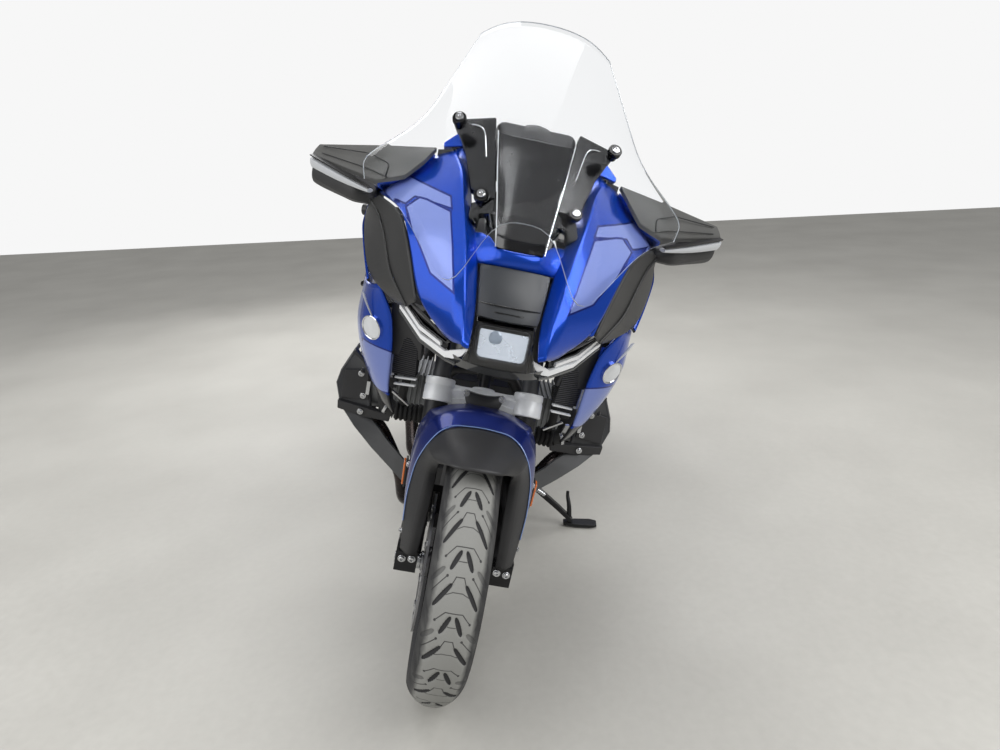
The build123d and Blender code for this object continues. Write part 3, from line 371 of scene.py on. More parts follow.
@dataclass(frozen=True)
class Gloss(Finish):
    """Polished plastic or lacquer."""

    coat: float = 1.0

    def draw(self, graph: Graph) -> bpy.types.Material:
        """Draws a clear-coated surface with faint dust."""
        dust = graph.noise(30.0, 6.0)
        return graph.shade(
            Base_Color=graph.mix(dust.fit(0.62, 0.9, 0.0, 0.12), self.colour, (0.5, 0.5, 0.5)),
            Metallic=self.metal,
            Roughness=dust.fit(0.4, 0.8, self.rough, self.rough + 0.12),
            Coat_Weight=self.coat,
            Coat_Roughness=0.04,
        )


@dataclass(frozen=True)
class Cast(Finish):
    """Painted or blasted cast metal."""

    pits: float = 420.0

    def draw(self, graph: Graph) -> bpy.types.Material:
        """Draws a fine sand texture with worn tone."""
        sand = graph.noise(self.pits, 4.0)
        cloud = graph.noise(16.0, 3.0)
        dark = tuple(part * 0.72 for part in self.colour)
        return graph.shade(
            Base_Color=graph.mix(cloud.fit(0.3, 0.75), dark, self.colour),
            Metallic=self.metal,
            Roughness=sand.fit(0.25, 0.75, self.rough - 0.07, self.rough + 0.1),
            Normal=graph.bump(sand, 0.00012),
        )


@dataclass(frozen=True)
class Turned(Finish):
    """Ground or brushed metal, with fine rings round the y axis."""

    rings: float = 9000.0

    def draw(self, graph: Graph) -> bpy.types.Material:
        """Draws concentric scratches."""
        spot = graph.place()
        x, z = graph.part(spot, 0), graph.part(spot, 2)
        radius = (x * x + z * z).root()
        rings = (radius * self.rings).wave() * 0.5 + 0.5
        smear = graph.noise(60.0, 5.0)
        tone = rings * 0.25 + smear * 0.75
        dark = tuple(part * 0.6 for part in self.colour)
        return graph.shade(
            Base_Color=graph.mix(tone.fit(0.2, 0.8), dark, self.colour), Metallic=self.metal,
            Roughness=tone.fit(0.2, 0.8, self.rough, self.rough + 0.16), Normal=graph.bump(tone, 0.00004),
        )


@dataclass(frozen=True)
class Heated(Finish):
    """Exhaust steel, darkened and browned along its length."""

    def draw(self, graph: Graph) -> bpy.types.Material:
        """Draws heat tint by noise."""
        tint = graph.noise(7.0, 4.0)
        fine = graph.noise(120.0, 3.0)
        base = graph.mix(tint.fit(0.35, 0.65), self.colour, (0.055, 0.04, 0.035))
        return graph.shade(
            Base_Color=base, Metallic=self.metal,
            Roughness=fine.fit(0.3, 0.7, self.rough, self.rough + 0.2), Normal=graph.bump(fine, 0.00005),
        )


# the tread's cuts in one pitch: start share across and start phase round, end share
# and end phase, half width in millimetres, depth from 0 to 1
TREAD: tuple[tuple[float, float, float, float, float, float], ...] = (
    (0.077, 0.068, 0.27, 0.342, 4.6, 1.0),
    (0.19, 0.575, 0.59, 0.945, 4.6, 1.0),
    (0.45, 0.342, 0.8, 0.56, 5.2, 0.5),
    (0.0, 0.0, 0.217, 0.0, 0.9, 0.8),
    (0.217, 0.0, 0.46, 0.164, 0.9, 0.8),
    (0.455, 0.16, 0.465, 0.168, 2.3, 0.9),
    (0.0, 0.22, 0.1, 0.22, 0.8, 0.7),
    (0.0, 0.452, 0.1, 0.452, 0.9, 0.8),
    (0.1, 0.452, 0.19, 0.59, 0.9, 0.8),
    (0.0, 0.685, 0.12, 0.685, 0.8, 0.7),
    (0.12, 0.685, 0.3, 0.74, 0.8, 0.7),
    (0.33, 0.452, 0.72, 0.726, 0.9, 0.8),
    (0.326, 0.448, 0.334, 0.456, 2.3, 0.9),
)
WIDE_CUTS = 3


@dataclass(frozen=True)
class TyreRubber(Finish):
    """Tyre rubber: dark shoulders, a crown paled by dust, and the tread's cuts."""

    repeats: int = 15
    start: float = 1.1167
    reach: float = 78.0
    pitch: float = 125.7
    broad: float = 3.0
    crown: Colour = (0.29, 0.29, 0.275)

    def cuts(self, share: Flow, phase: Flow) -> Flow:
        """Returns how deep the tread is cut, 0 to 1.

        Args:
            share: Place across, 0 at the crown and 1 at the shoulder.
            phase: Place round the tyre in pitches.

        Returns:
            The depth.
        """
        deepest: Optional[Flow] = None
        for s0, p0, s1, p1, wide, deep in TREAD:
            middle = (p0 + p1) / 2
            round_it = (phase - (middle - 0.5)).fraction() + (middle - 0.5 - p0)
            x, y = (share - s0) * self.reach, round_it * self.pitch
            run_x, run_y = (s1 - s0) * self.reach, (p1 - p0) * self.pitch
            held = (x * run_x + y * run_y).fit(0.0, run_x**2 + run_y**2)
            off_x, off_y = x - held * run_x, y - held * run_y
            away = (off_x * off_x + off_y * off_y).root()
            edge: Value = wide
            if wide > self.broad:
                edge = (held * (1.0 - held)).root() * wide + wide * 0.5
            cut = (edge - away).fit(-0.25, 0.35) * deep
            deepest = cut if deepest is None else deepest.most(cut)
        return deepest

    def draw(self, graph: Graph) -> bpy.types.Material:
        """Draws dust by the place across, and the cuts in tone and relief."""
        spot = graph.place(2)
        share = (graph.part(spot, 0) * 2.0 - 1.0).size()
        phase = graph.part(spot, 1) * float(self.repeats) - self.start
        cut = self.cuts(share, phase + 20.0)
        cloud = graph.noise(55.0, 6.0)
        fine = graph.noise(900.0, 3.0)
        streak = graph.noise(14.0, 5.0, (1.0, 6.0, 1.0))
        worn = 1.0 - (share + cloud * 0.14 - 0.07).fit(0.54, 0.72)
        scuffed = share.fit(1.02, 0.8, 0.0, 0.28) * streak.fit(0.4, 0.75)
        dust = worn.most(scuffed) * (fine * 0.35 + 0.8) * (1.0 - cut)
        base = graph.mix(dust, self.colour, self.crown)
        ribs = ((graph.part(spot, 0) * 90.0).wave() * 0.5 + 0.5) * (share > 1.04)
        return graph.shade(
            Base_Color=base, Roughness=fine.fit(0.2, 0.8, 0.62, 0.9),
            Normal=graph.bump(fine * 0.06 + ribs * 0.15 - cut, 0.0022),
        )


@dataclass(frozen=True)
class Hide(Finish):
    """Seat cover with a pebbled grain."""

    def draw(self, graph: Graph) -> bpy.types.Material:
        """Draws pebbles and faint creases."""
        cells = graph.node(
            "ShaderNodeTexVoronoi", {"feature": "SMOOTH_F1"}, {"Vector": graph.place(), "Scale": 520.0}
        )
        folds = graph.noise(22.0, 5.0)
        light = tuple(part * 1.9 for part in self.colour)
        height = cells * 0.5 + folds * 0.6
        return graph.shade(
            Base_Color=graph.mix(folds.fit(0.35, 0.75), self.colour, light),
            Roughness=cells.fit(0.0, 0.6, self.rough, self.rough + 0.12), Normal=graph.bump(height, 0.0005),
        )


@dataclass(frozen=True)
class Clear(Finish):
    """Clear acrylic or glass."""

    bend: float = 1.12
    coat: float = 1.0

    def draw(self, graph: Graph) -> bpy.types.Material:
        """Draws a clear sheet with the faintest haze."""
        haze = graph.noise(8.0, 3.0)
        return graph.shade(
            Base_Color=self.colour, Roughness=haze.fit(0.4, 0.8, self.rough, self.rough + 0.003),
            Transmission_Weight=1.0, IOR=self.bend, Coat_Weight=self.coat, Coat_Roughness=0.01,
        )


@dataclass(frozen=True)
class Core(Finish):
    """Radiator core: fine fins between flat tubes."""

    tubes: float = 1256.0
    fins: float = 3900.0

    def draw(self, graph: Graph) -> bpy.types.Material:
        """Draws fins across and tubes along by bump, with painted shade in the gaps between them."""
        spot = graph.place()
        rows = (graph.part(spot, 2) * self.tubes).wave()
        fins = (graph.part(spot, 1) * self.fins).wave()
        height = rows.most(fins * 0.6)
        # painted shade: the colour goes near black in the gaps between fins and tubes
        base = graph.mix(height.fit(-0.2, 0.9), (0.004, 0.004, 0.005), self.colour)
        return graph.shade(
            Base_Color=base, Metallic=self.metal, Roughness=0.5, Normal=graph.bump(height, 0.0012)
        )


LILAC: Colour = (0.2, 0.26, 0.6)
BLUE = Paint("blue_metallic", (0.006, 0.075, 0.6), 0.26, 0.6)
DEEP_BLUE = Paint("deep_blue_metallic", (0.012, 0.03, 0.24), 0.3, 0.6)
SATIN = Finish("satin_black", (0.024, 0.024, 0.026), 0.32)
GRAIN = Grained("grained_black", (0.04, 0.04, 0.042), 0.5)
FENDER_GRAIN = Grained("fender_black", (0.035, 0.035, 0.037), 0.42, 0.0, 1100.0, 0.00008)
PANEL_GREY = Grained("grained_grey", (0.045, 0.045, 0.045), 0.45, 0.0, 1300.0, 0.0001)
GUARD_GREY = Grained("guard_grey", (0.085, 0.087, 0.09), 0.5, 0.0, 1000.0, 0.00012)
WING_GREY = Grained("wing_grey", (0.11, 0.11, 0.106), 0.42, 0.0, 1500.0, 0.00006)
PIANO = Gloss("gloss_black", (0.003, 0.003, 0.004), 0.12, 0.0, 0.1)
BEZEL = Gloss("lamp_bezel", (0.035, 0.037, 0.04), 0.12)
# the radar cover's satin black, made paler with painted sheen
RADAR_PAINTED_SHEEN = Finish("radar_satin_painted_sheen", (0.05, 0.054, 0.06), 0.34)
WHITE = Gloss("white_diffuser", (0.92, 0.93, 0.95), 0.4, 0.0, 0.15)
FROSTED = Gloss("frosted_lens", (0.62, 0.64, 0.67), 0.3, 0.0, 0.3)
AMBER = Gloss("amber_reflector", (0.75, 0.17, 0.02), 0.12)
RED = Gloss("red_lens", (0.42, 0.01, 0.012), 0.1)
DISPLAY = Gloss("display_glass", (0.004, 0.005, 0.008), 0.03)
SILVER = Cast("silver_casting", (0.88, 0.9, 0.92), 0.36, 0.15, 900.0)
DARK_CAST = Cast("dark_casting", (0.075, 0.077, 0.082), 0.5, 0.5)
BLACK_CAST = Cast("black_casting", (0.018, 0.018, 0.02), 0.38, 0.3)
ENGINE_CAST = Cast("engine_casting", (0.3, 0.31, 0.32), 0.45, 0.8)
STEEL = Turned("ground_steel", (0.5, 0.5, 0.52), 0.25, 1.0)
BRIGHT = Cast("bright_steel", (0.72, 0.73, 0.75), 0.2, 0.9, 700.0)
CHROME = Gloss("chrome", (0.85, 0.86, 0.88), 0.05, 1.0, 0.0)
REFLECTOR = Gloss("lamp_reflector", (0.7, 0.75, 0.82), 0.22, 0.7, 0.3)
PROJECTOR = Gloss("projector_glass", (0.3, 0.36, 0.44), 0.04, 0.2, 1.0)
EXHAUST = Heated("heated_steel", (0.03, 0.028, 0.03), 0.16, 0.85)
MUFFLER = Cast("muffler_steel", (0.42, 0.42, 0.44), 0.26, 1.0, 900.0)
RUBBER = Grained("rubber", (0.018, 0.018, 0.018), 0.7, 0.0, 1600.0, 0.0002)
SEAT = Hide("seat_cover", (0.016, 0.016, 0.017), 0.5)
THREAD = Grained("seam_thread", (0.1, 0.1, 0.105), 0.8, 0.0, 2400.0, 0.0003)
SCREEN = Clear("clear_screen", (0.97, 0.98, 0.99), 0.0, 0.0, 1.045, 0.03)
SCREEN_EDGE = Gloss("screen_edge", (0.62, 0.66, 0.7), 0.3)
LENS = Clear("clear_lens", (0.94, 0.96, 0.98), 0.0, 0.0, 1.2)
GLASS = Gloss("mirror_glass", (0.86, 0.88, 0.9), 0.02, 1.0, 0.0)
CORE = Core("radiator_core", (0.12, 0.12, 0.125), 0.5, 0.7)
BLANK = Finish("blank_plate", (0.8, 0.8, 0.79), 0.4)


# Meshes


def circle(count: int, radius: float = 1.0, turn: float = 0.0) -> list[Pair]:
    """Returns points round a circle, the first turned by a share of a step."""
    angles = [2 * math.pi * (k + turn) / count for k in range(count)]
    return [(radius * math.cos(angle), radius * math.sin(angle)) for angle in angles]


def fork_point(along: float, y: float) -> Point:
    """Returns a point of the fork's line, so far above the axle."""
    x, _, z = FRONT_HUB
    return (x - along * math.sin(FORK_RAKE), y, z + along * math.cos(FORK_RAKE))


class Workpiece:
    """A mesh in progress, in millimetres on the upright machine."""

    def __init__(self, origin: Point = (0, 0, 0)) -> None:
        """Starts an empty mesh.

        Args:
            origin: Where the finished object's own origin goes.
        """
        self.origin = Vector(origin)
        self.mesh = bmesh.new()
        self.uv = self.mesh.loops.layers.uv.new("UVMap")
        self.crease = self.mesh.edges.layers.float.new("crease_edge")

    def spots(self, points: Iterable[Point]) -> list[Vert]:
        """Adds vertices and returns them."""
        return [self.mesh.verts.new((Vector(p) - self.origin) / PER_METRE) for p in points]

    def face(self, corners: Sequence[Vert]) -> Optional[bmesh.types.BMFace]:
        """Adds a face, leaving out corners that coincide."""
        kept: list[Vert] = []
        for corner in corners:
            if corner not in kept:
                kept.append(corner)
        return self.mesh.faces.new(kept) if len(kept) > 2 else None

    def net(self, rows: Rows, closed: bool = False) -> list[list[Vert]]:
        """Adds a net of quads over rows of points, with panel coordinates.

        Args:
            rows: Rows of points.
            closed: Whether each row runs back to its start.

        Returns:
            The vertices by row.
        """
        grid = [self.spots(row) for row in rows]
        down, over = len(grid) - 1, len(grid[0]) - (0 if closed else 1)
        wide = len(grid[0])
        for r in range(down):
            for c in range(over):
                d = (c + 1) % wide
                made = self.face((grid[r][c], grid[r][d], grid[r + 1][d], grid[r + 1][c]))
                if made is not None and len(made.verts) == 4:
                    spots = ((c, r), (c + 1, r), (c + 1, r + 1), (c, r + 1))
                    for loop, (u, v) in zip(made.loops, spots):
                        loop[self.uv].uv = (u / over, v / down)
        return grid

    def lines(
        self, grid: list[list[Vert]], rows: dict[int, float], columns: dict[int, float]
    ) -> None:
        """Sharpens rows and columns of a net, each by its crease from 0 to 1."""
        for index, sharp in rows.items():
            for a, b in zip(grid[index], grid[index][1:]):
                self.sharpen(a, b, sharp)
        for index, sharp in columns.items():
            for first, second in zip(grid, grid[1:]):
                self.sharpen(first[index], second[index], sharp)

    def sharpen(self, a: Vert, b: Vert, sharp: float) -> None:
        """Sets the crease of the edge between two vertices."""
        edge = self.mesh.edges.get((a, b))
        if edge is not None:
            edge[self.crease] = sharp

    def sheet(self, rows: Rows, ridges: Optional[dict[int, float]] = None) -> None:
        """Adds an open net with a creased border, and any creased columns."""
        grid = self.net(rows)
        border = {0: 1.0, len(grid[0]) - 1: 1.0}
        self.lines(grid, {0: 1.0, len(grid) - 1: 1.0}, {**border, **(ridges or {})})

    def hull(self, loops: Rows, ends: float = 1.0) -> None:
        """Adds a closed form over loops of points, with creased ends."""
        grid = self.net(loops, closed=True)
        for loop, flip in ((grid[0], True), (grid[-1], False)):
            self.face(loop[::-1] if flip else loop)
            for a, b in zip(loop, loop[1:] + loop[:1]):
                self.sharpen(a, b, ends)

    def tray(self, rows: Rows, back: Point, sharp: float = 0.7) -> None:
        """Adds a panel whose border folds back.

        Args:
            rows: The panel's points.
            back: How far the folded border is moved.
            sharp: The fold's crease from 0 to 1.
        """

        def moved(point: Point) -> Point:
            """Returns a point of the folded border."""
            return tuple(a + b for a, b in zip(point, back))

        full = [[moved(row[0]), *row, moved(row[-1])] for row in rows]
        first, last = [moved(p) for p in full[0][1:-1]], [moved(p) for p in full[-1][1:-1]]
        top, bottom = [first[0], *first, first[-1]], [last[0], *last, last[-1]]
        grid = self.net([top, *full, bottom])
        rest = len(full[0]) - 2
        self.lines(grid, {1: sharp, len(grid) - 2: sharp}, {1: sharp, rest: sharp})

    def plate(self, outline: Sequence[Point], offset: Point) -> None:
        """Adds a flat plate from its outline and the way to its other face."""
        self.hull((outline, [tuple(a + b for a, b in zip(p, offset)) for p in outline]))

    def rail(
        self, points: Sequence[Point], up: Point, out: Point, sizes: Sequence[Pair]
    ) -> None:
        """Adds a mitred rail.

        Args:
            points: Its middle line.
            up: The direction of its height.
            out: The direction of its depth.
            sizes: Height and depth at each point.
        """
        rise, reach = Vector(up).normalized(), Vector(out).normalized()
        loops = []
        for point, (height, depth) in zip(points, sizes):
            corners = ((0.5, 0.5), (0.5, -0.5), (-0.5, -0.5), (-0.5, 0.5))
            loops.append([tuple(Vector(point) + rise * height * a + reach * depth * b) for a, b in corners])
        self.hull(loops)

    def slab(self, low: Point, high: Point) -> None:
        """Adds a box from its lowest to its highest corner."""
        (x0, y0, z0), (x1, y1, z1) = low, high
        self.hull(
            (
                ((x0, y0, z0), (x0, y1, z0), (x0, y1, z1), (x0, y0, z1)),
                ((x1, y0, z0), (x1, y1, z0), (x1, y1, z1), (x1, y0, z1)),
            ),
        )

    def bar(
        self,
        start: Point,
        end: Point,
        width: float,
        height: float,
        taper: float = 1.0,
        up: Point = (0, 0, 1),
    ) -> None:
        """Adds a bar between two points, its far end scaled by taper."""
        first, last = Vector(start), Vector(end)
        run = (last - first).normalized()
        side = Vector(up).cross(run).normalized()
        lift = run.cross(side).normalized()
        loops = []
        for spot, share in ((first, 0.5), (last, 0.5 * taper)):
            corners = ((1, 1), (-1, 1), (-1, -1), (1, -1))
            loops.append(
                [tuple(spot + side * width * share * a + lift * height * share * b) for a, b in corners]
            )
        self.hull(loops)

    def pipe(
        self,
        points: Sequence[Point],
        radius: float,
        sides: int = 16,
        bend: float = 30.0,
        radii: Optional[Sequence[float]] = None,
    ) -> None:
        """Adds a round pipe along points, its corners rounded.

        Args:
            points: The route's corners.
            radius: The pipe's radius.
            sides: How many flats round it.
            bend: How far before a corner the bend starts.
            radii: A radius for each of the rounded route's ends instead.
        """
        route: list[Vector] = [Vector(points[0])]
        for before, corner, after in zip(points, points[1:], points[2:]):
            a, b, c = Vector(before), Vector(corner), Vector(after)
            back = min(bend, (a - b).length * BEND_SHARE, (c - b).length * BEND_SHARE)
            start, end = b + (a - b).normalized() * back, b + (c - b).normalized() * back
            for i in range(BEND_EDGES + 1):
                t = i / BEND_EDGES
                route.append(start * (1 - t) ** 2 + b * 2 * t * (1 - t) + end * t * t)
        route.append(Vector(points[-1]))
        side = Vector(ASKEW)
        loops = []
        for i, spot in enumerate(route):
            ahead = (route[min(i + 1, len(route) - 1)] - route[max(i - 1, 0)]).normalized()
            side = (side - ahead * side.dot(ahead)).normalized()
            other = ahead.cross(side)
            share = i / (len(route) - 1)
            size = radius if radii is None else radii[0] * (1 - share) + radii[1] * share
            loops.append([tuple(spot + (side * u + other * v) * size) for u, v in circle(sides)])
        self.hull(loops)

    def lathe(
        self, profile: Sequence[Pair], centre: Point, ahead: Point, steps: int = 32
    ) -> None:
        """Adds a turned form.

        Args:
            profile: Distances along the axis and radii.
            centre: Where the distances start.
            ahead: The axis' direction.
            steps: How many flats round it.
        """
        axis = Vector(ahead).normalized()
        side = axis.orthogonal().normalized()
        other = axis.cross(side)
        loops = []
        for along, radius in profile:
            middle, reach = Vector(centre) + axis * along, max(radius, 0.01)
            loops.append([tuple(middle + (side * u + other * v) * reach) for u, v in circle(steps)])
        self.hull(loops)

    def bolt(self, spot: Point, ahead: Point, radius: float = 5.0, washer: float = 0.0) -> None:
        """Adds a socket-head screw standing on a spot, with any washer under it."""
        rise = radius * 0.9
        if washer > 0.0:
            self.lathe(((-1, washer), (1.2, washer), (1.8, washer - 0.6), (1.8, radius)), spot, ahead, 20)
        head = ((-1, radius), (rise * 0.8, radius), (rise, radius * 0.84))
        socket = ((rise, radius * 0.5), (rise * 0.45, radius * 0.46), (rise * 0.45, 0))
        self.lathe(head + socket, spot, ahead, 18)

    def mirror(self) -> None:
        """Adds the same again on the machine's other side."""
        made = bmesh.ops.duplicate(
            self.mesh, geom=self.mesh.verts[:] + self.mesh.edges[:] + self.mesh.faces[:]
        )
        faces = [one for one in made["geom"] if isinstance(one, bmesh.types.BMFace)]
        for one in made["geom"]:
            if isinstance(one, Vert):
                one.co.y = -one.co.y - 2 * self.origin.y / PER_METRE
        bmesh.ops.reverse_faces(self.mesh, faces=faces)

    def done(
        self,
        name: str,
        finish: Finish,
        slot: str,
        replaces: Sequence[str] = (),
        sides: Sides = Sides.ONE,
        round_off: int = 0,
        thick: float = 0.0,
        soften: float = 0.0,
        body: Body = Body.CHASSIS,
    ) -> bpy.types.Object:
        """Turns the mesh into a piece of the machine.

        Args:
            name: The piece's name.
            finish: Its finish.
            slot: The record's material slot; not used.
            replaces: CAD nodes that it stands for.
            sides: Whether it is made on both sides.
            round_off: Levels of subdivision.
            thick: Skin thickness in millimetres, inwards.
            soften: Bevel width in millimetres.
            body: The body that it rides on.

        Returns:
            The object.
        """
        if sides is Sides.BOTH:
            self.mirror()
        data = self.baked(name, thick == 0.0)
        data.materials.append(finish.material())
        made = bpy.data.objects.new(name, data)
        bpy.context.scene.collection.objects.link(made)
        made.matrix_world = PLACE @ Matrix.Translation(self.origin / PER_METRE)
        self.refine(made, round_off, thick, soften)
        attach(made, body.value)
        if replaces:
            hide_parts(*replaces)
        LOG.info("%s: %d faces", name, len(data.polygons))
        return made

    def baked(self, name: str, closed: bool) -> bpy.types.Mesh:
        """Returns the mesh, with its faces turned outwards where it is closed."""
        bmesh.ops.remove_doubles(self.mesh, verts=self.mesh.verts, dist=WELD)
        if closed:
            bmesh.ops.recalc_face_normals(self.mesh, faces=self.mesh.faces)
        data = bpy.data.meshes.new(name)
        self.mesh.to_mesh(data)
        self.mesh.free()
        for polygon in data.polygons:
            polygon.use_smooth = True
        data.set_sharp_from_angle(angle=SMOOTH_UNDER)
        return data

    @staticmethod
    def refine(made: bpy.types.Object, round_off: int, thick: float, soften: float) -> None:
        """Adds the modifiers that round, thicken and soften a piece.

        Args:
            made: The piece.
            round_off: Levels of subdivision.
            thick: Skin thickness in millimetres.
            soften: Bevel width in millimetres.
        """
        if round_off:
            rounding = made.modifiers.new("rounding", "SUBSURF")
            rounding.levels = rounding.render_levels = round_off
        if thick:
            skin = made.modifiers.new("skin", "SOLIDIFY")
            skin.thickness = thick / PER_METRE
            skin.offset = -1.0
        if soften:
            bevel = made.modifiers.new("soften", "BEVEL")
            bevel.width = soften / PER_METRE
            bevel.segments = 2
            bevel.limit_method = "ANGLE"
            bevel.angle_limit = SMOOTH_UNDER
            bevel.harden_normals = True


def settle(made: bpy.types.Object) -> None:
    """Moves a piece's placement into its mesh, so that its box lies along the frame."""
    made.data.transform(made.matrix_world)
    made.matrix_world = Matrix.Identity(4)


def across(rows: Rows) -> list[list[Point]]:
    """Returns rows that start at or near the middle, carried on to the other side."""
    return [[(x, -y, z) for x, y, z in row[::-1] if y > 0.0] + list(row) for row in rows]


def halved(rows: Rows) -> list[list[Point]]:
    """Returns rows over one half of a U, carried on round to the other half."""
    other = [[(x, -y, z) for x, y, z in row] for row in rows[:-1]]
    return [list(row) for row in rows] + other[::-1]


def rounded(
    low: Pair, high: Pair, radius: float, steps: int = 4
) -> list[Pair]:
    """Returns a rectangle's outline with rounded corners.

    Args:
        low: Its lowest corner.
        high: Its highest corner.
        radius: The corners' radius.
        steps: How many edges round a corner.

    Returns:
        The outline, anticlockwise.
    """
    outline = []
    centres = (
        (high[0] - radius, high[1] - radius, 0), (low[0] + radius, high[1] - radius, 90),
        (low[0] + radius, low[1] + radius, 180), (high[0] - radius, low[1] + radius, 270),
    )
    for u, v, start in centres:
        for k in range(steps + 1):
            angle = math.radians(start + 90.0 * k / steps)
            outline.append((u + radius * math.cos(angle), v + radius * math.sin(angle)))
    return outline


# Sub-assemblies


@dataclass
class Wheel:
    """One wheel's tyre with its tread, and the rim's small pieces."""

    name: str
    body: Body
    hub: Point
    radius: float
    width: float
    rim_width: float
    rubber: TyreRubber
    bead: float = 216.0
    seat: float = 216.3
    lip: float = 229.0
    steps: int = 720
    across: int = 48
    depth: float = 3.6
    ease: float = 0.6
    slope: float = 1.6

    def outline(self) -> list[Pair]:
        """Returns the crown's cross-section as y and radius, left to right."""
        half = self.width / 2
        shoulder = (self.bead + self.radius) / 2
        rise = self.radius - shoulder
        crown = (rise * rise + half * half) / (2 * rise)
        reach = math.asin(half / crown)
        points = []
        for i in range(self.across + 1):
            angle = reach * (2 * i / self.across - 1)
            points.append((crown * math.sin(angle), self.radius - crown + crown * math.cos(angle)))
        return points

    def cut_depth(self, phase: float, share: float) -> float:
        """Returns how deep the wide cuts are, 0 to 1.

        Args:
            phase: Place round the tyre in pitches.
            share: Place across, 0 to 1.

        Returns:
            The depth.
        """
        deepest = 0.0
        for s0, p0, s1, p1, wide, deep in TREAD[:WIDE_CUTS]:
            middle = (p0 + p1) / 2
            turn = (phase - middle + 0.5) % 1.0 + middle - 0.5 - p0
            x, y = (share - s0) * self.rubber.reach, turn * self.rubber.pitch
            run_x, run_y = (s1 - s0) * self.rubber.reach, (p1 - p0) * self.rubber.pitch
            held = min(1, max(0, (x * run_x + y * run_y) / (run_x**2 + run_y**2)))
            away = math.hypot(x - held * run_x, y - held * run_y)
            edge = wide * (0.5 + math.sqrt(held * (1.0 - held)))
            deepest = max(deepest, deep * min(1, max(0, (edge - away + self.ease) / self.slope)))
        return deepest

    def tyre(self) -> None:
        """Builds the tyre over its CAD ring."""
        piece = Workpiece(self.hub)
        inner = self.rim_width / 2 - 0.3
        wall_left = [
            (-inner, self.seat), (-inner, self.lip - 1), (-inner - 5, self.lip),
            (-self.width / 2 + 2, self.lip + 10),
        ]
        wall = wall_left + self.outline() + [(-y, r) for y, r in wall_left[::-1]]
        first = len(wall_left)
        grid = []
        for k in range(self.steps):
            angle = 2 * math.pi * k / self.steps
            row = []
            for i, (y, r) in enumerate(wall):
                share = abs((i - first) / self.across * 2 - 1)
                phase = self.rubber.repeats * k / self.steps - self.rubber.start
                reach = r - (self.cut_depth(phase, share) * self.depth if share <= 1.0 else 0)
                row.append(
                    piece.mesh.verts.new(
                        (
                            reach * math.sin(angle) / PER_METRE, y / PER_METRE,
                            reach * math.cos(angle) / PER_METRE,
                        ),
                    ),
                )
            grid.append(row)
        for k, (near, far) in enumerate(zip(grid, grid[1:] + grid[:1])):
            for i in range(len(wall)):
                j = (i + 1) % len(wall)
                made = piece.mesh.faces.new((near[i], near[j], far[j], far[i]))
                over = [(n - first) / self.across for n in (i, i + 1, i + 1, i)]
                for loop, u, v in zip(made.loops, over, (k, k, k + 1, k + 1)):
                    loop[piece.uv].uv = (u, v / self.steps)
        node = self.name + "_tyre"
        settle(piece.done(node + "_cut", self.rubber, node, [node], body=self.body))

    def fittings(self) -> None:
        """Adds the valve and the balance weights."""
        piece = Workpiece(self.hub)
        x, _, z = self.hub
        valve = (x + 150, 10, z + 130)
        piece.lathe(
            ((0, 4.6), (16, 3.8), (16.5, 2.6), (32, 2.6), (32.5, 3.4), (40, 3.4), (41, 2.6)), valve,
            (-0.75, 0.35, -0.6), 14,
        )
        radius, first, step = 205.0, 196.0, 4.2
        for k in range(4):
            angle = math.radians(first + step * k)
            spot = (x + radius * math.cos(angle), self.rim_width / 2 + 1, z + radius * math.sin(angle))
            piece.slab((spot[0] - 6, spot[1] - 3, spot[2] - 6), (spot[0] + 6, spot[1] + 1.6, spot[2] + 6))
        piece.done(self.name + "_weights", BRIGHT, self.name + "_rim", soften=0.8, body=self.body)

    def build(self) -> None:
        """Builds the tyre and the fittings."""
        self.tyre()
        self.fittings()


# columns: blade's inner edge, blade's ridge, fold, panel, outer edge
NOSE: Rows = (
    ((560, 150, 1215), (575, 168, 1200), (560, 200, 1185), (504, 256, 1150), (448, 334, 1076)),
    ((620, 118, 1150), (660, 140, 1172), (655, 165, 1150), (600, 250, 1128), (545, 318, 1080)),
    ((650, 110, 1096), (702, 134, 1138), (711, 153, 1112), (668, 236, 1078), (664, 256, 1074)),
    ((740, 92, 1062), (768, 116, 1080), (775, 140, 1052), (728, 212, 1046), (720, 232, 1042)),
    ((785, 76, 1008), (815, 102, 1012), (818, 124, 998), (782, 182, 982), (764, 206, 984)),
    ((846, 62, 910), (870, 84, 930), (860, 112, 946), (832, 152, 930), (810, 182, 914)),
    ((912, 66, 864), (914, 80, 868), (885, 96, 862), (858, 112, 862), (834, 126, 868)),
)
# columns: from the blade to the middle
NOSE_RIM: Rows = (
    ((736, 99, 1060), (752, 60, 1066), (794, 49, 1041), (800, 0, 1044)),
    ((784, 84, 1002), (790, 64, 1005), (800, 40, 1007), (806, 0, 1009)),
)
# columns: upper edge, ridge, lower edge
INFILL: Rows = (
    ((560, 316, 1074), (520, 338, 1056), (474, 350, 1028)),
    ((660, 260, 1066), (602, 302, 1036), (508, 348, 998)),
    ((716, 234, 1036), (660, 276, 996), (584, 324, 944)),
    ((762, 208, 978), (706, 252, 938), (640, 298, 900)),
    ((806, 184, 908), (762, 202, 886), (702, 224, 872)),
)
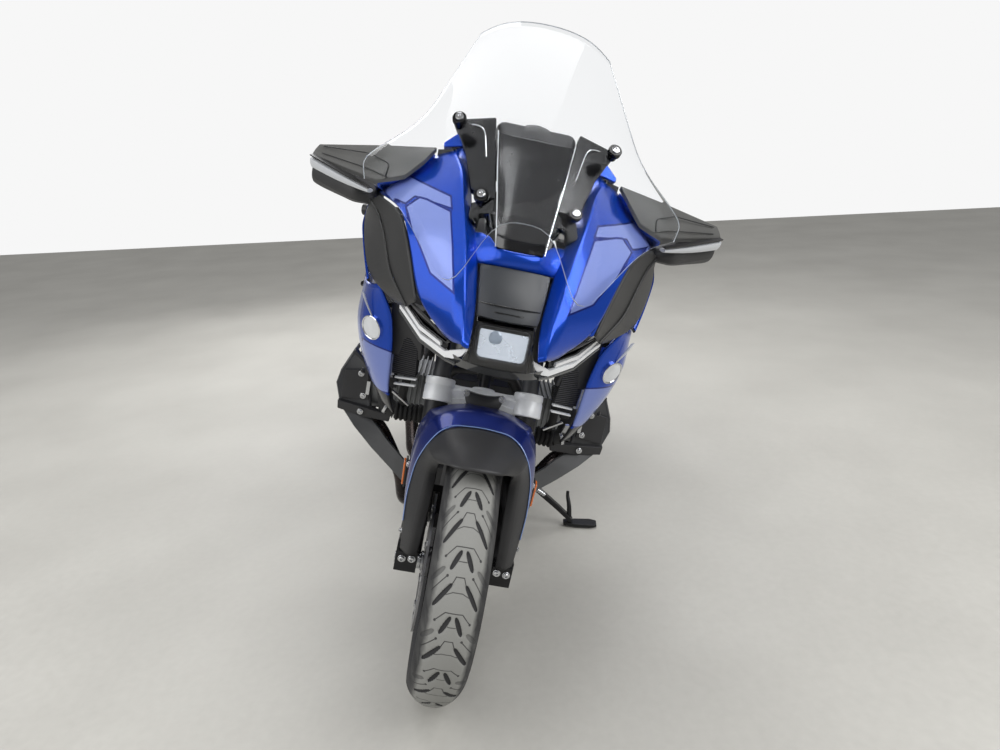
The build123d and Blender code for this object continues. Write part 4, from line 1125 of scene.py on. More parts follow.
# rows run backwards, columns from the upper edge down
SIDE: Rows = (
    ((428, 346, 1058), (498, 348, 1000), (578, 322, 940), (630, 300, 898)),
    ((360, 336, 1020), (390, 346, 975), (420, 345, 920), (440, 332, 876)),
    ((250, 296, 975), (260, 330, 940), (280, 342, 896), (300, 335, 862)),
    ((110, 230, 935), (120, 284, 910), (150, 318, 876), (190, 326, 850)),
    ((-10, 176, 890), (0, 226, 868), (30, 270, 842), (90, 296, 824)),
)
LOWER: Rows = (
    ((645, 272, 896), (632, 238, 833), (622, 222, 738), (606, 226, 644), (600, 200, 592)),
    ((600, 304, 884), (588, 314, 790), (576, 303, 727), (560, 264, 640), (562, 236, 600)),
    ((450, 332, 868), (440, 340, 780), (430, 328, 700), (430, 300, 640), (434, 290, 624)),
    ((300, 336, 856), (290, 344, 780), (290, 332, 700), (316, 312, 654), (320, 308, 644)),
    ((190, 328, 846), (190, 336, 790), (205, 328, 730), (246, 312, 690), (256, 308, 676)),
)
NOSE_FIELDS = (
    DecorField(
        (
            ((305, 1084), (292, 1112), (255, 1130), (226, 1101), (246, 1079)),
            ((258, 1128), (155, 1112), (149, 1094), (231, 1097)),
        ),
        LILAC,
    ),
    DecorField(
        (((240, 1072), (217, 1094), (201, 1094), (149, 1085), (132, 1025), (115, 952), (163, 970)),),
        LILAC,
    ),
)
LOWER_FIELDS = (
    DecorField((((309, 716), (302, 742), (218, 741), (222, 640), (264, 626)),), LILAC),
    DecorField(
        (((360, 632), (180, 632), (180, 560), (360, 560)),), (0.02, 0.02, 0.021), line=1.0, metal=0.0
    ),
    DecorField((((560, 872), (300, 862), (400, 720), (540, 700)),), LILAC, (0, 2)),
)


@dataclass
class Bodywork:
    """The painted panels, the black ones between them, and their trims."""

    skin: float = 5.0

    def panel(
        self, name: str, rows: Rows, finish: Finish, slot: str, ridges: dict[int, float], level: int = 3
    ) -> None:
        """Builds one panel on both sides.

        Args:
            name: The piece's name.
            rows: Its points from the middle of the machine outwards.
            finish: Its finish.
            slot: The node that it replaces.
            ridges: Creases by column.
            level: Levels of subdivision.
        """
        piece = Workpiece()
        last = len(rows[0]) - 1
        flipped = {last - column: sharp for column, sharp in ridges.items()}
        piece.sheet([row[::-1] for row in rows], flipped)
        piece.done(name, finish, slot, [slot], Sides.BOTH, level, self.skin)

    def nose_rim(self) -> None:
        """Builds the rounded rim between the blades, over the radar cover."""
        piece = Workpiece()
        upper, lower = across([row[::-1] for row in NOSE_RIM])
        loops = []
        for (x0, y0, z0), (x1, y1, z1) in zip(upper, lower):
            middle = ((x0 + x1) / 2 + 7, (y0 + y1) / 2, (z0 + z1) / 2 + 3)
            loops.append([(x0, y0, z0), middle, (x1, y1, z1), (x1 - 14, y1, z1 - 6), (x0 - 14, y0, z0 - 6)])
        piece.hull(loops)
        piece.done("nose_rim", BLUE, "nose_fairing", round_off=3)

    def shoulders(self) -> None:
        """Builds the painted strip between each nose panel and the mirror's wing."""
        piece = Workpiece()
        piece.sheet(
            (
                ((554, 328, 1093), (584, 278, 1117), (594, 240, 1152), (560, 207, 1182)),
                ((450, 334, 1068), (500, 288, 1096), (514, 250, 1122), (524, 214, 1150)),
            ),
        )
        piece.done("nose_shoulders", BLUE, "nose_fairing", sides=Sides.BOTH, thick=3.0)

    def infill_trim(self) -> None:
        """Adds the raised bead down each infill panel."""
        piece = Workpiece()
        piece.pipe([(x + 1, y + 1, z) for x, y, z in (row[1] for row in INFILL)], 3.2, 10)
        piece.done("infill_bead", PANEL_GREY, "side_infills", sides=Sides.BOTH)

    def badges(self) -> None:
        """Adds the blank round badge places and the pale blades above them."""
        ring = Workpiece()
        spot, ahead = (605, 282, 786), (0.8, 0.58, -0.2)
        ring.lathe(((-5, 29), (3, 29), (4.2, 27.5), (3, 25.5), (1.6, 25)), spot, ahead, 40)
        ring.done("badge_ring", CHROME, "lower_fairings", sides=Sides.BOTH)
        disc = Workpiece()
        disc.lathe(((-4, 25.2), (2.2, 24.6), (2.9, 20), (3.2, 8), (3.3, 0)), spot, ahead, 40)
        disc.done("badge_blank", SILVER, "lower_fairings", sides=Sides.BOTH)
        blade = Workpiece()
        path = ((608, 312, 864), (610, 304, 846), (612, 292, 826), (610, 284, 812))
        blade.rail(path, (0.1, 0.86, 0.5), (0.85, 0.5, 0.1), ((9, 5), (10, 5), (8, 5), (4, 4)))
        blade.done("fairing_blade", FROSTED, "lower_fairings", sides=Sides.BOTH, round_off=1)

    def seams(self) -> None:
        """Adds the dark joints between the panels and the fairing screws."""
        joint = Workpiece()
        joint.pipe([(x + 1, y + 1.5, z - 1) for x, y, z in (row[3] for row in SIDE)], 3, 8)
        joint.done("side_joint", RUBBER, "side_panels", sides=Sides.BOTH)
        screws = Workpiece()
        for spot, ahead in (
            ((450, 337, 850), (0, 1, 0.1)),
            ((230, 334, 828), (0, 1, 0.1)),
            ((300, 331.5, 672), (0.1, 0.9, -0.3)),
            ((520, 296, 652), (0.5, 0.8, -0.2)),
            ((200, 306, 905), (-0.1, 0.7, 0.6)),
        ):
            screws.bolt(spot, ahead, 5, 7.5)
        screws.done("fairing_screws", BLACK_CAST, "lower_fairings", sides=Sides.BOTH)

    def build(self) -> None:
        """Builds every panel."""
        nose = Paint("nose_paint", BLUE.colour, BLUE.rough, BLUE.metal, NOSE_FIELDS)
        lower = Paint("lower_paint", BLUE.colour, BLUE.rough, BLUE.metal, LOWER_FIELDS)
        self.panel("nose_shell", NOSE, nose, "nose_fairing", {1: 0.5, 2: 0.75})
        self.panel("infill_shell", INFILL, PANEL_GREY, "side_infills", {1: 0.5})
        self.panel("side_shell", SIDE, BLUE, "side_panels", {1: 0.4})
        self.panel("lower_shell", LOWER, lower, "lower_fairings", {1: 0.35})
        self.nose_rim()
        self.shoulders()
        self.infill_trim()
        self.badges()
        self.seams()


# rows from the top down, columns from the middle outwards
SCREEN_ROWS: Rows = (
    (
        (200, 0, 1541), (203, 40, 1539), (208, 75, 1533), (214, 105, 1524), (224, 136, 1507),
        (239, 164, 1483),
    ),
    (
        (340, 0, 1466), (338, 50, 1464), (336, 90, 1456), (334, 125, 1444), (334, 160, 1424),
        (336, 193, 1400),
    ),
    (
        (490, 0, 1378), (486, 52, 1375), (479, 100, 1367), (468, 145, 1354), (452, 186, 1336),
        (433, 222, 1317),
    ),
    (
        (630, 0, 1280), (626, 56, 1279), (616, 108, 1275), (596, 160, 1267), (566, 208, 1254),
        (531, 251, 1234),
    ),
    (
        (712, 0, 1188), (710, 60, 1188), (702, 112, 1188), (676, 176, 1184), (624, 266, 1172),
        (556, 361, 1153),
    ),
    (
        (750, 0, 1138), (752, 63, 1136), (790, 113, 1068), (772, 168, 1076), (664, 262, 1124),
        (572, 354, 1128),
    ),
    ((776, 0, 1095), (779, 66, 1090), (872, 113, 953), (838, 160, 977), (696, 252, 1086), (587, 346, 1105)),
)


@dataclass
class Screen:
    """The clear windscreen, the trunk and arms that carry it, and its studs."""

    thick: float = 4.0
    upper_stud: Point = (608, 167, 1264)
    lower_stud: Point = (752, 94, 1128)

    def sheet(self) -> None:
        """Builds the sheet, with a milky edge."""
        piece = Workpiece()
        piece.sheet(across(SCREEN_ROWS))
        made = piece.done(
            "screen_sheet", SCREEN, "windscreen", ["windscreen"], round_off=2, thick=self.thick
        )
        settle(made)
        made.data.materials.append(SCREEN_EDGE.material())
        made.modifiers["skin"].material_offset_rim = 1

    def trunk(self) -> None:
        """Builds the gloss-black trunk in the middle, with chrome lines along its and the arms' edges as
        painted reflections.
        """
        piece = Workpiece()
        rows = (
            ((612, 40, 1254), (618, 80, 1256)), ((658, 40, 1184), (672, 70, 1192)),
            ((730, 34, 1100), (742, 56, 1108)), ((794, 28, 1040), (797, 47, 1042)),
        )
        piece.tray(across(rows), (-22, 0, -16), 0.9)
        piece.done("trunk_shell", PIANO, "screen_mounts", ["screen_mounts"], round_off=2)
        # painted reflections: thin chrome pipes laid along the trunk's and arms' edges
        trim = Workpiece()
        trim.pipe(((616, 83, 1258), (674, 73, 1193), (744, 58.5, 1109), (799, 49, 1043)), 1.3, 8, 60)
        trim.pipe(((556, 159, 1259), (596, 112, 1262), (664, 88, 1158), (700, 92, 1128)), 1.2, 8, 26)
        trim.done("trunk_edge_reflections", CHROME, "screen_mounts", sides=Sides.BOTH)

    def arms(self) -> None:
        """Builds the arm plates either side of the trunk, open at the foot."""
        piece = Workpiece()
        upper = (
            (552, 182, 1264), (578, 92, 1285), (640, 78, 1206), (700, 66, 1126), (712, 92, 1126),
            (672, 118, 1134), (610, 142, 1200),
        )
        foot = (
            (690, 112, 1108), (700, 66, 1126), (722, 60, 1098), (722, 90, 1092), (744, 92, 1072),
            (754, 98, 1076), (752, 112, 1086),
        )
        inner = ((722, 60, 1098), (764, 46, 1042), (760, 62, 1046), (722, 74, 1094))
        for outline in (upper, foot, inner):
            piece.plate(outline, (-14, -2, -11))
        piece.done("screen_arms", PIANO, "screen_mounts", sides=Sides.BOTH, soften=3.0)

    def studs(self) -> None:
        """Adds the rubber grommets and their domed bolts."""
        rubber, bolts = Workpiece(), Workpiece()
        for x, y, z in (self.upper_stud, self.lower_stud):
            ahead = (0.76, 0.12, 0.62)
            rubber.lathe(((-18, 11), (-4, 11), (-3, 15), (7, 15), (9, 13.5), (9, 9)), (x, y, z), ahead, 28)
            bolts.lathe(
                ((6, 9.5), (10, 9.5), (12.6, 8.2), (13.4, 5), (13.4, 3.2), (10.6, 2.8), (10.6, 0)),
                (x, y, z), ahead, 24,
            )
        rubber.done("screen_grommets", PIANO, "screen_mounts", sides=Sides.BOTH)
        bolts.done("screen_bolts", CHROME, "screen_mounts", sides=Sides.BOTH)

    def brackets(self) -> None:
        """Builds the small painted cap and grey bracket outside each arm."""
        cap = Workpiece()
        cap.plate(
            ((566, 193, 1213), (560, 160, 1243), (566, 151, 1238), (572, 152, 1212), (570, 192, 1203)),
            (-34, 0, -8),
        )
        cap.done("crest_cap", BLUE, "nose_fairing", sides=Sides.BOTH, soften=3.0)
        grey = Workpiece()
        grey.plate(((560, 203, 1196), (564, 152, 1206), (572, 151, 1182), (556, 202, 1158)), (-30, 0, -10))
        grey.bolt((566, 167, 1200), (0.86, 0.1, 0.3), 6, 9)
        grey.done("crest_bracket", PANEL_GREY, "cockpit", sides=Sides.BOTH, soften=1.5)

    def build(self) -> None:
        """Builds the sheet and what carries it."""
        self.sheet()
        self.trunk()
        self.arms()
        self.studs()
        self.brackets()


@dataclass
class Cockpit:
    """The instrument hood behind the screen, and its display."""

    glass_x: float = 468.0

    def build(self) -> None:
        """Builds the hood, its sensor hump and the display."""
        hood = Workpiece()
        loops = []
        for x, z, wide, high in (
            (470, 1215, 168, 118), (520, 1219, 174, 120), (566, 1219, 176, 122), (602, 1200, 156, 92)
        ):
            loops.append(
                [(x, y, z + up) for y, up in rounded((-wide / 2, -high / 2), (wide / 2, high / 2), 18, 3)]
            )
        hood.hull(loops)
        hood.done("cockpit_hood", GRAIN, "cockpit", ["cockpit"], soften=4.0)
        hump = Workpiece()
        rows = (
            ((598, 0, 1258), (594, 36, 1256)), ((574, 0, 1289), (572, 27, 1283)),
            ((520, 0, 1290), (520, 24, 1284)),
        )
        hump.tray(across(rows), (-6, 0, -14))
        hump.done("cockpit_hump", GRAIN, "cockpit", round_off=2)
        lip = Workpiece()
        line = ((594, -84, 1248), (602, 0, 1252), (594, 84, 1248))
        lip.rail(line, (0.3, 0, 1), (1, 0, -0.4), [(12, 8)] * 3)
        lip.done("cockpit_lip", SATIN, "cockpit", round_off=1)
        glass = Workpiece()
        outline = [(self.glass_x, y, 1216.0 + up) for y, up in rounded((-74, -44), (74, 46), 10)]
        glass.plate(outline, (-3, 0, 0))
        glass.done("display_glass", DISPLAY, "cockpit", soften=1.0)


@dataclass
class Mirrors:
    """The mirror housings, their wings, glasses and light strips."""

    rise: Point = (0.35, 0.2, 0.9)
    reach: Point = (0.8, 0.55, -0.2)

    def pods(self) -> None:
        """Builds the housings."""
        pod = Workpiece()
        pod.hull(
            (
                ((525, 316, 1044), (522, 316, 1070), (440, 316, 1070), (440, 316, 1044)),
                ((545, 372, 1040), (538, 372, 1100), (432, 370, 1146), (426, 374, 1036)),
                ((541, 384, 1041), (534, 384, 1104), (430, 382, 1150), (424, 386, 1037)),
                ((464, 482, 1068), (460, 482, 1122), (402, 480, 1138), (400, 486, 1044)),
                ((458, 490, 1076), (454, 490, 1116), (404, 488, 1128), (402, 492, 1054)),
            ),
            0.6,
        )
        pod.done("mirror_pods", GRAIN, "mirror_housings", ["mirror_housings"], Sides.BOTH, 2)

    def wings(self) -> None:
        """Builds the grey wings over the housings, with their seams."""
        wing = Workpiece()
        wing.tray(
            (
                ((452, 480, 1153), (504, 345, 1178), (562, 206, 1200)),
                ((466, 486, 1140), (548, 338, 1142), (606, 224, 1171)),
                ((474, 490, 1128), (560, 326, 1106), (600, 262, 1130)),
            ),
            (-5, -1, -9), 0.8,
        )
        wing.done("mirror_wings", WING_GREY, "mirror_housings", sides=Sides.BOTH, soften=2.5)
        inset = Workpiece()
        inset.pipe(((470, 466, 1150), (536, 352, 1158), (572, 300, 1146), (574, 306, 1118)), 1.3, 8, 12)
        inset.pipe(((482, 466, 1135), (550, 348, 1126), (578, 300, 1116)), 1, 8, 8)
        inset.done("wing_seam", SATIN, "mirror_housings", sides=Sides.BOTH)

    def lenses(self) -> None:
        """Builds the light strip under each wing, with its dark edge."""
        lens = Workpiece()
        line = ((558, 336, 1080), (530, 388, 1088), (498, 444, 1100), (472, 486, 1110))
        lens.rail(line, self.rise, self.reach, ((10, 20), (22, 22), (28, 22), (30, 18)))
        lens.done("mirror_lenses", FROSTED, "light_strips", sides=Sides.BOTH, round_off=1)
        edge = Workpiece()
        line = ((566, 336, 1087), (538, 392, 1102), (505, 448, 1117), (479, 489, 1127))
        edge.rail(line, self.rise, self.reach, ((2.4, 12), (3, 13), (3, 13), (3, 12)))
        edge.done("mirror_edges", SATIN, "mirror_housings", sides=Sides.BOTH)

    def glasses(self) -> None:
        """Builds the mirror glasses behind the housings."""
        glass = Workpiece()
        outline = ((424, 392, 1136), (404, 474, 1127), (402, 480, 1058), (419, 396, 1048))
        glass.plate(outline, (-3, -1, 0))
        glass.done("mirror_glass", GLASS, "mirror_glasses", ["mirror_glasses"], Sides.BOTH, soften=1.0)

    def build(self) -> None:
        """Builds both mirrors."""
        self.pods()
        self.wings()
        self.lenses()
        self.glasses()


@dataclass
class Lamps:
    """The radar cover, headlight, smoked bib and running-light strips."""

    window: tuple[float, float, float] = (50, 834, 894)
    rake: float = 0.22
    flare: float = 0.0008
    strip_height: float = 10.0

    def radar(self) -> None:
        """Builds the satin radar cover, with its lower slot."""
        cover = Workpiece()
        rows = (
            ((800, 36, 1008), (788, 71, 1004)), ((838, 34, 962), (824, 66, 960)),
            ((858, 30, 914), (846, 60, 914)),
        )
        cover.tray(across(rows), (-18, 0, -7), 0.85)
        # the cover's colour carries painted sheen
        cover.done("radar_panel", RADAR_PAINTED_SHEEN, "radar_cover", ["radar_cover"], round_off=3)
        slot = Workpiece()
        lines = (((848, 30, 940), (834, 61, 938)), ((852, 26, 927), (841, 40, 926)))
        for line, radius in zip(across(lines), (1.5, 1.2)):
            slot.pipe(line, radius, 8)
        slot.done("radar_slot", PIANO, "radar_cover")

    def opening(self, x: float, grow: float) -> list[Point]:
        """Returns the lamp window's outline at x, larger by grow."""
        half, low, high = self.window
        outline = rounded((-half - grow, low - grow), (half + grow, high + grow), 10.0 + max(grow, -6), 3)
        return [(x - (z - low) * self.rake, y * (1.0 + (z - high) * self.flare), z) for y, z in outline]

    def housing(self) -> None:
        """Builds the headlight's housing and the ribbed bowl inside it."""
        shell = Workpiece()
        steps = ((790, 3), (852, 6), (858, 4), (858, 0), (846, -3))
        shell.hull([self.opening(x, grow) for x, grow in steps], 0)
        shell.slab((770, -58, 806), (840, 58, 902))
        shell.done("lamp_shell", PIANO, "headlight", ["headlight"], soften=1.5)
        bowl = Workpiece()
        steps = ((852, -1), (842, -6), (826, -14))
        bowl.hull([self.opening(x, grow) for x, grow in steps], 0)
        bowl.slab((828, -44, 838), (846, 44, 840.5))
        for k in range(9):
            y = -40.0 + 10.0 * k
            bowl.pipe(((842, y, 846), (830, y, 872), (838, y, 890)), 2.6, 8, 8)
        bowl.done("lamp_bowl", REFLECTOR, "headlight", soften=1.0)

    def glasses(self) -> None:
        """Builds the projectors, the clear lens and the smoked bib below it."""
        glass = Workpiece()
        for y, size in ((-16, 1.5), (28, 1.05)):
            dome = ((0, 18), (5, 17.4), (8.5, 13.5), (10.5, 7), (11, 0))
            glass.lathe([(a * size, r * size) for a, r in dome], (829, y, 868), (1, 0, 0.1), 36)
        glass.done("lamp_projectors", PROJECTOR, "headlight")
        lens = Workpiece()
        rows = (
            ((855, 0, 905), (850, 56, 903)), ((870, 0, 850), (864, 62, 850)),
            ((868, 0, 818), (860, 74, 822)),
        )
        lens.tray(across(rows), (-8, 0, 0), 0.8)
        lens.done("lamp_lens", LENS, "headlight_lens", ["headlight_lens"], round_off=2)
        bib = Workpiece()
        rows = (
            ((868, 0, 816), (858, 76, 820), (800, 108, 826)),
            ((852, 0, 797), (838, 84, 800), (784, 112, 804)),
        )
        bib.tray(across(rows), (-16, 0, -2), 0.5)
        bib.done("lamp_bib", BEZEL, "headlight_lens", round_off=2)

    def strips(self) -> None:
        """Builds the double running-light strips in their dark bezels."""
        path = ((690, 219, 868), (748, 162, 826), (802, 104, 812))
        out, up = (0.86, 0.5, -0.1), (0.1, 0.1, 1)
        bezel = Workpiece()
        bezel.rail([(x - 9, y - 4, z + 8) for x, y, z in path], up, out, ((34, 10), (36, 12), (30, 12)))
        bezel.done("strip_bezels", PIANO, "headlight", sides=Sides.BOTH, soften=2.0)
        lower = Workpiece()
        lower.rail(
            [(x - 4, y, z - 9) for x, y, z in path] + [(836, 84, 806)], up, out,
            ((7, 12), (8, 14), (8, 14), (6, 8)),
        )
        lower.done("strip_sills", BEZEL, "headlight", sides=Sides.BOTH, soften=2.0)
        light = Workpiece()
        high = self.strip_height
        light.rail(path, up, out, ((high, 9), (high, 10), (high + 4, 9)))
        light.rail(
            ((685, 221, 884), (742, 168, 843), (790, 118, 829)), up, out,
            ((high, 9), (high, 9), (high - 2, 9)),
        )
        light.rail(
            ((800, 106, 813), (822, 90, 821), (838, 74, 832), (846, 66, 842)), up, out,
            ((high + 4, 9), (high + 8, 8), (high + 4, 8), (4, 6)),
        )
        light.done("light_bars", WHITE, "light_strips", ["light_strips"], Sides.BOTH, soften=1.2)
        pocket = Workpiece()
        pocket.sheet(
            (
                ((838, 116, 862), (806, 156, 884), (770, 196, 902), (726, 224, 902)),
                ((786, 108, 838), (760, 132, 844), (728, 166, 856), (678, 214, 886)),
            ),
        )
        pocket.done("strip_pockets", SATIN, "nose_frame", sides=Sides.BOTH, thick=2.0)

    def build(self) -> None:
        """Builds every lamp on the nose."""
        self.radar()
        self.housing()
        self.glasses()
        self.strips()


# places from the front hub in x, rows from the fork foot up to the middle
FENDER_PANEL: Rows = (
    ((56, 88, 350), (62, 108, 347), (41, 127, 350)),
    ((70, 84, 417), (74, 107, 418), (40, 131, 418)),
    ((64, 80, 480), (68, 104, 482), (34, 134, 480)),
    ((50, 78, 550), (62, 100, 556), (30, 127, 556)),
    ((96, 79, 592), (82, 97, 602), (42, 110, 606)),
    ((126, 62, 606), (88, 77, 623), (26, 89, 634)),
    ((144, 45, 613), (88, 50, 636), (8, 61, 646)),
    ((152, 0, 617), (92, 0, 641), (4, 0, 650)),
)
FENDER_RIM: Rows = (
    ((40, 131, 418), (36, 132, 420), (30, 133, 424)),
    ((34, 134, 480), (10, 141, 484), (-18, 143, 492)),
    ((30, 127, 556), (2, 138, 556), (-50, 142, 550)),
    ((42, 110, 606), (2, 130, 604), (-82, 138, 598)),
    ((26, 89, 634), (-26, 106, 644), (-86, 118, 638)),
    ((8, 61, 646), (-56, 66, 664), (-118, 66, 654)),
    ((4, 0, 650), (-58, 0, 670), (-120, 0, 658)),
)


@dataclass
class Fork:
    """The fork's collars, bridge casting, fender, feet and brakes."""

    y: float = 106.0
    low: float = 366.0
    high: float = 422.0
    radius: float = 35.0
    bobbins: int = 10
    bobbin_circle: float = 121.0

    def fender(self) -> None:
        """Builds the dark panel over the tyre and the painted rim round it."""
        for name, rows, finish, slot, sharp in (
            ("fender_inner", FENDER_PANEL, FENDER_GRAIN, "fender_panel", {0: 1.0, 1: 0.25, 2: 1.0}),
            ("fender_outer", FENDER_RIM, DEEP_BLUE, "front_fender", {0: 1.0, 1: 0.4, 2: 1.0}),
        ):
            piece = Workpiece()
            grid = piece.net(halved([[(FRONT_HUB[0] + x, y, z) for x, y, z in row] for row in rows]))
            last = len(grid) - 1
            piece.lines(grid, {0: 1.0, 3: 0.4, 4: 0.5, last - 4: 0.5, last - 3: 0.4, last: 1.0}, sharp)
            piece.done(name, finish, slot, [slot], Sides.ONE, 3, 5, body=Body.STEERING)
        edge = Workpiece()
        line = [(FRONT_HUB[0] + x + 1, y + 0.5, z + 1.5) for x, y, z in (row[0] for row in FENDER_RIM)]
        right = [(x, -y, z) for x, y, z in line[:-1]]
        edge.pipe(line + right[::-1], 1.3, 8, 30)
        edge.done(
            "fender_edge", Gloss("pale_blue_edge", (0.2, 0.3, 0.6), 0.15), "front_fender",
            body=Body.STEERING,
        )

    def bridge(self) -> None:
        """Builds the silver collars and the casting between them."""
        cast = Workpiece()
        ahead = (-math.sin(FORK_RAKE), 0, math.cos(FORK_RAKE))
        run, r = self.high - self.low, self.radius
        foot = ((0, 22), (0, r - 2), (2, r))
        groove = ((run - 21, r), (run - 19, r - 1.4), (run - 17, r - 1.4), (run - 15, r))
        head = ((run - 2.5, r), (run, r - 2.5), (run, 21.5), (run - 6, 21.5))
        cast.lathe(foot + groove + head, fork_point(self.low, self.y), ahead, 48)
        for start, end, wide in ((392, 396, 1), (372, 384, 0.8)):
            loops = []
            for y, along, size in (
                (82, start, 1), (54, (start + end) / 2, 0.8), (20, end, 0.72), (0, end, 0.72)
            ):
                x, _, z = fork_point(along, y)
                depth, tall = 17.0 * size * wide, 13.0 * size * wide
                front = [(x + depth, y, z - tall), (x + depth, y, z + tall)]
                loops.append(front + [(x - depth, y, z + tall + 4), (x - depth, y, z - tall + 4)])
            cast.hull(loops)
        cast.lathe(((-20, 28), (20, 28), (22, 26), (22, 15)), (554.6, 0, 650), (-0.43, 0, 0.9), 32)
        cast.bar((560, 0, 650), (604, 0, 652), 56, 28)
        cast.done(
            "bridge_casting", SILVER, "fork_bridge", ["fork_bridge"], Sides.BOTH, soften=2.5,
            body=Body.STEERING,
        )

    def bracket(self) -> None:
        """Builds the black bracket on the bridge, and the fork's screws."""
        bracket = Workpiece()
        rows = (
            ((628, 20, 680), (620, 46, 684)), ((640, 20, 660), (632, 44, 662)),
            ((638, 14, 642), (634, 30, 644)),
        )
        bracket.tray(across(rows), (-22, 0, -4), 0.8)
        bracket.done("bridge_bracket", SATIN, "fork_bridge", round_off=2, body=Body.STEERING)
        screws = Workpiece()
        for spot, ahead, radius, washer in (
            ((624, 42, 678), (0.92, 0, 0.4), 5.5, 8),
            ((622, 38, 645), (0.92, 0, 0.4), 5.5, 8),
            ((788.5, 119, 323), (1, 0, 0), 6.5, 9),
            ((788.5, 97, 325), (1, 0, 0), 6.5, 9),
            ((776, 131.5, 386), (0.4, 0.9, 0), 5, 7),
            ((724, 142.5, 522), (0.2, 1, 0), 5, 7.5),
        ):
            screws.bolt(spot, ahead, radius, washer)
        screws.done("bridge_screws", BRIGHT, "fork_bridge", sides=Sides.BOTH, body=Body.STEERING)

    def brakes(self) -> None:
        """Adds the caliper's piston caps and bolts, and the discs' bobbins and hub ring."""
        caps, bolts = Workpiece(), Workpiece()
        x, _, z = FRONT_HUB
        for dx, dz in ((-134, 62), (-112, 96)):
            caps.lathe(
                ((-2, 16), (2, 16), (3.6, 14), (3.6, 5), (2.4, 4.5), (2.4, 0)), (x + dx, 94, z + dz),
                (0, 1, 0), 28,
            )
        for dx, dz in ((-152, 40), (-84, 128), (-70, 44)):
            bolts.bolt((x + dx, 94, z + dz), (0, 1, 0), 5, 7.5)
        caps.done("caliper_caps", BLACK_CAST, "front_calipers", sides=Sides.BOTH, body=Body.STEERING)
        bolts.done("caliper_bolts", BRIGHT, "front_calipers", sides=Sides.BOTH, body=Body.STEERING)
        bobbins = Workpiece()
        bobbin = ((0, 8), (2.6, 8), (3.2, 7), (3.2, 3.4), (2.2, 3), (2.2, 0))
        for u, v in circle(self.bobbins, self.bobbin_circle, 0.4):
            bobbins.lathe(bobbin, (x + u, 69, z + v), (0, 1, 0), 20)
        bobbins.lathe(((0, 22), (5, 22), (6.5, 20), (6.5, 12.7)), (x, 70.5, z), (0, 1, 0), 36)
        bobbins.done("disc_bobbins", BRIGHT, "front_discs", sides=Sides.BOTH, body=Body.FRONT_WHEEL)

    def reflectors(self) -> None:
        """Adds the amber reflectors in their dark holders."""
        holder = Workpiece()
        holder.plate(((721, 142, 462), (692, 143, 466), (690, 145, 528), (719, 144, 526)), (0, 5, 0))
        holder.done(
            "reflector_holders", SATIN, "front_fender", sides=Sides.BOTH, soften=1.5, body=Body.STEERING
        )
        amber = Workpiece()
        amber.plate(((718, 147, 467), (695, 148, 470), (693, 150, 523), (716, 149, 522)), (0, 4.5, 0))
        amber.done("reflectors", AMBER, "front_fender", sides=Sides.BOTH, soften=1.5, body=Body.STEERING)

    def build(self) -> None:
        """Builds everything round the front wheel."""
        self.fender()
        self.bridge()
        self.bracket()
        self.brakes()
        self.reflectors()


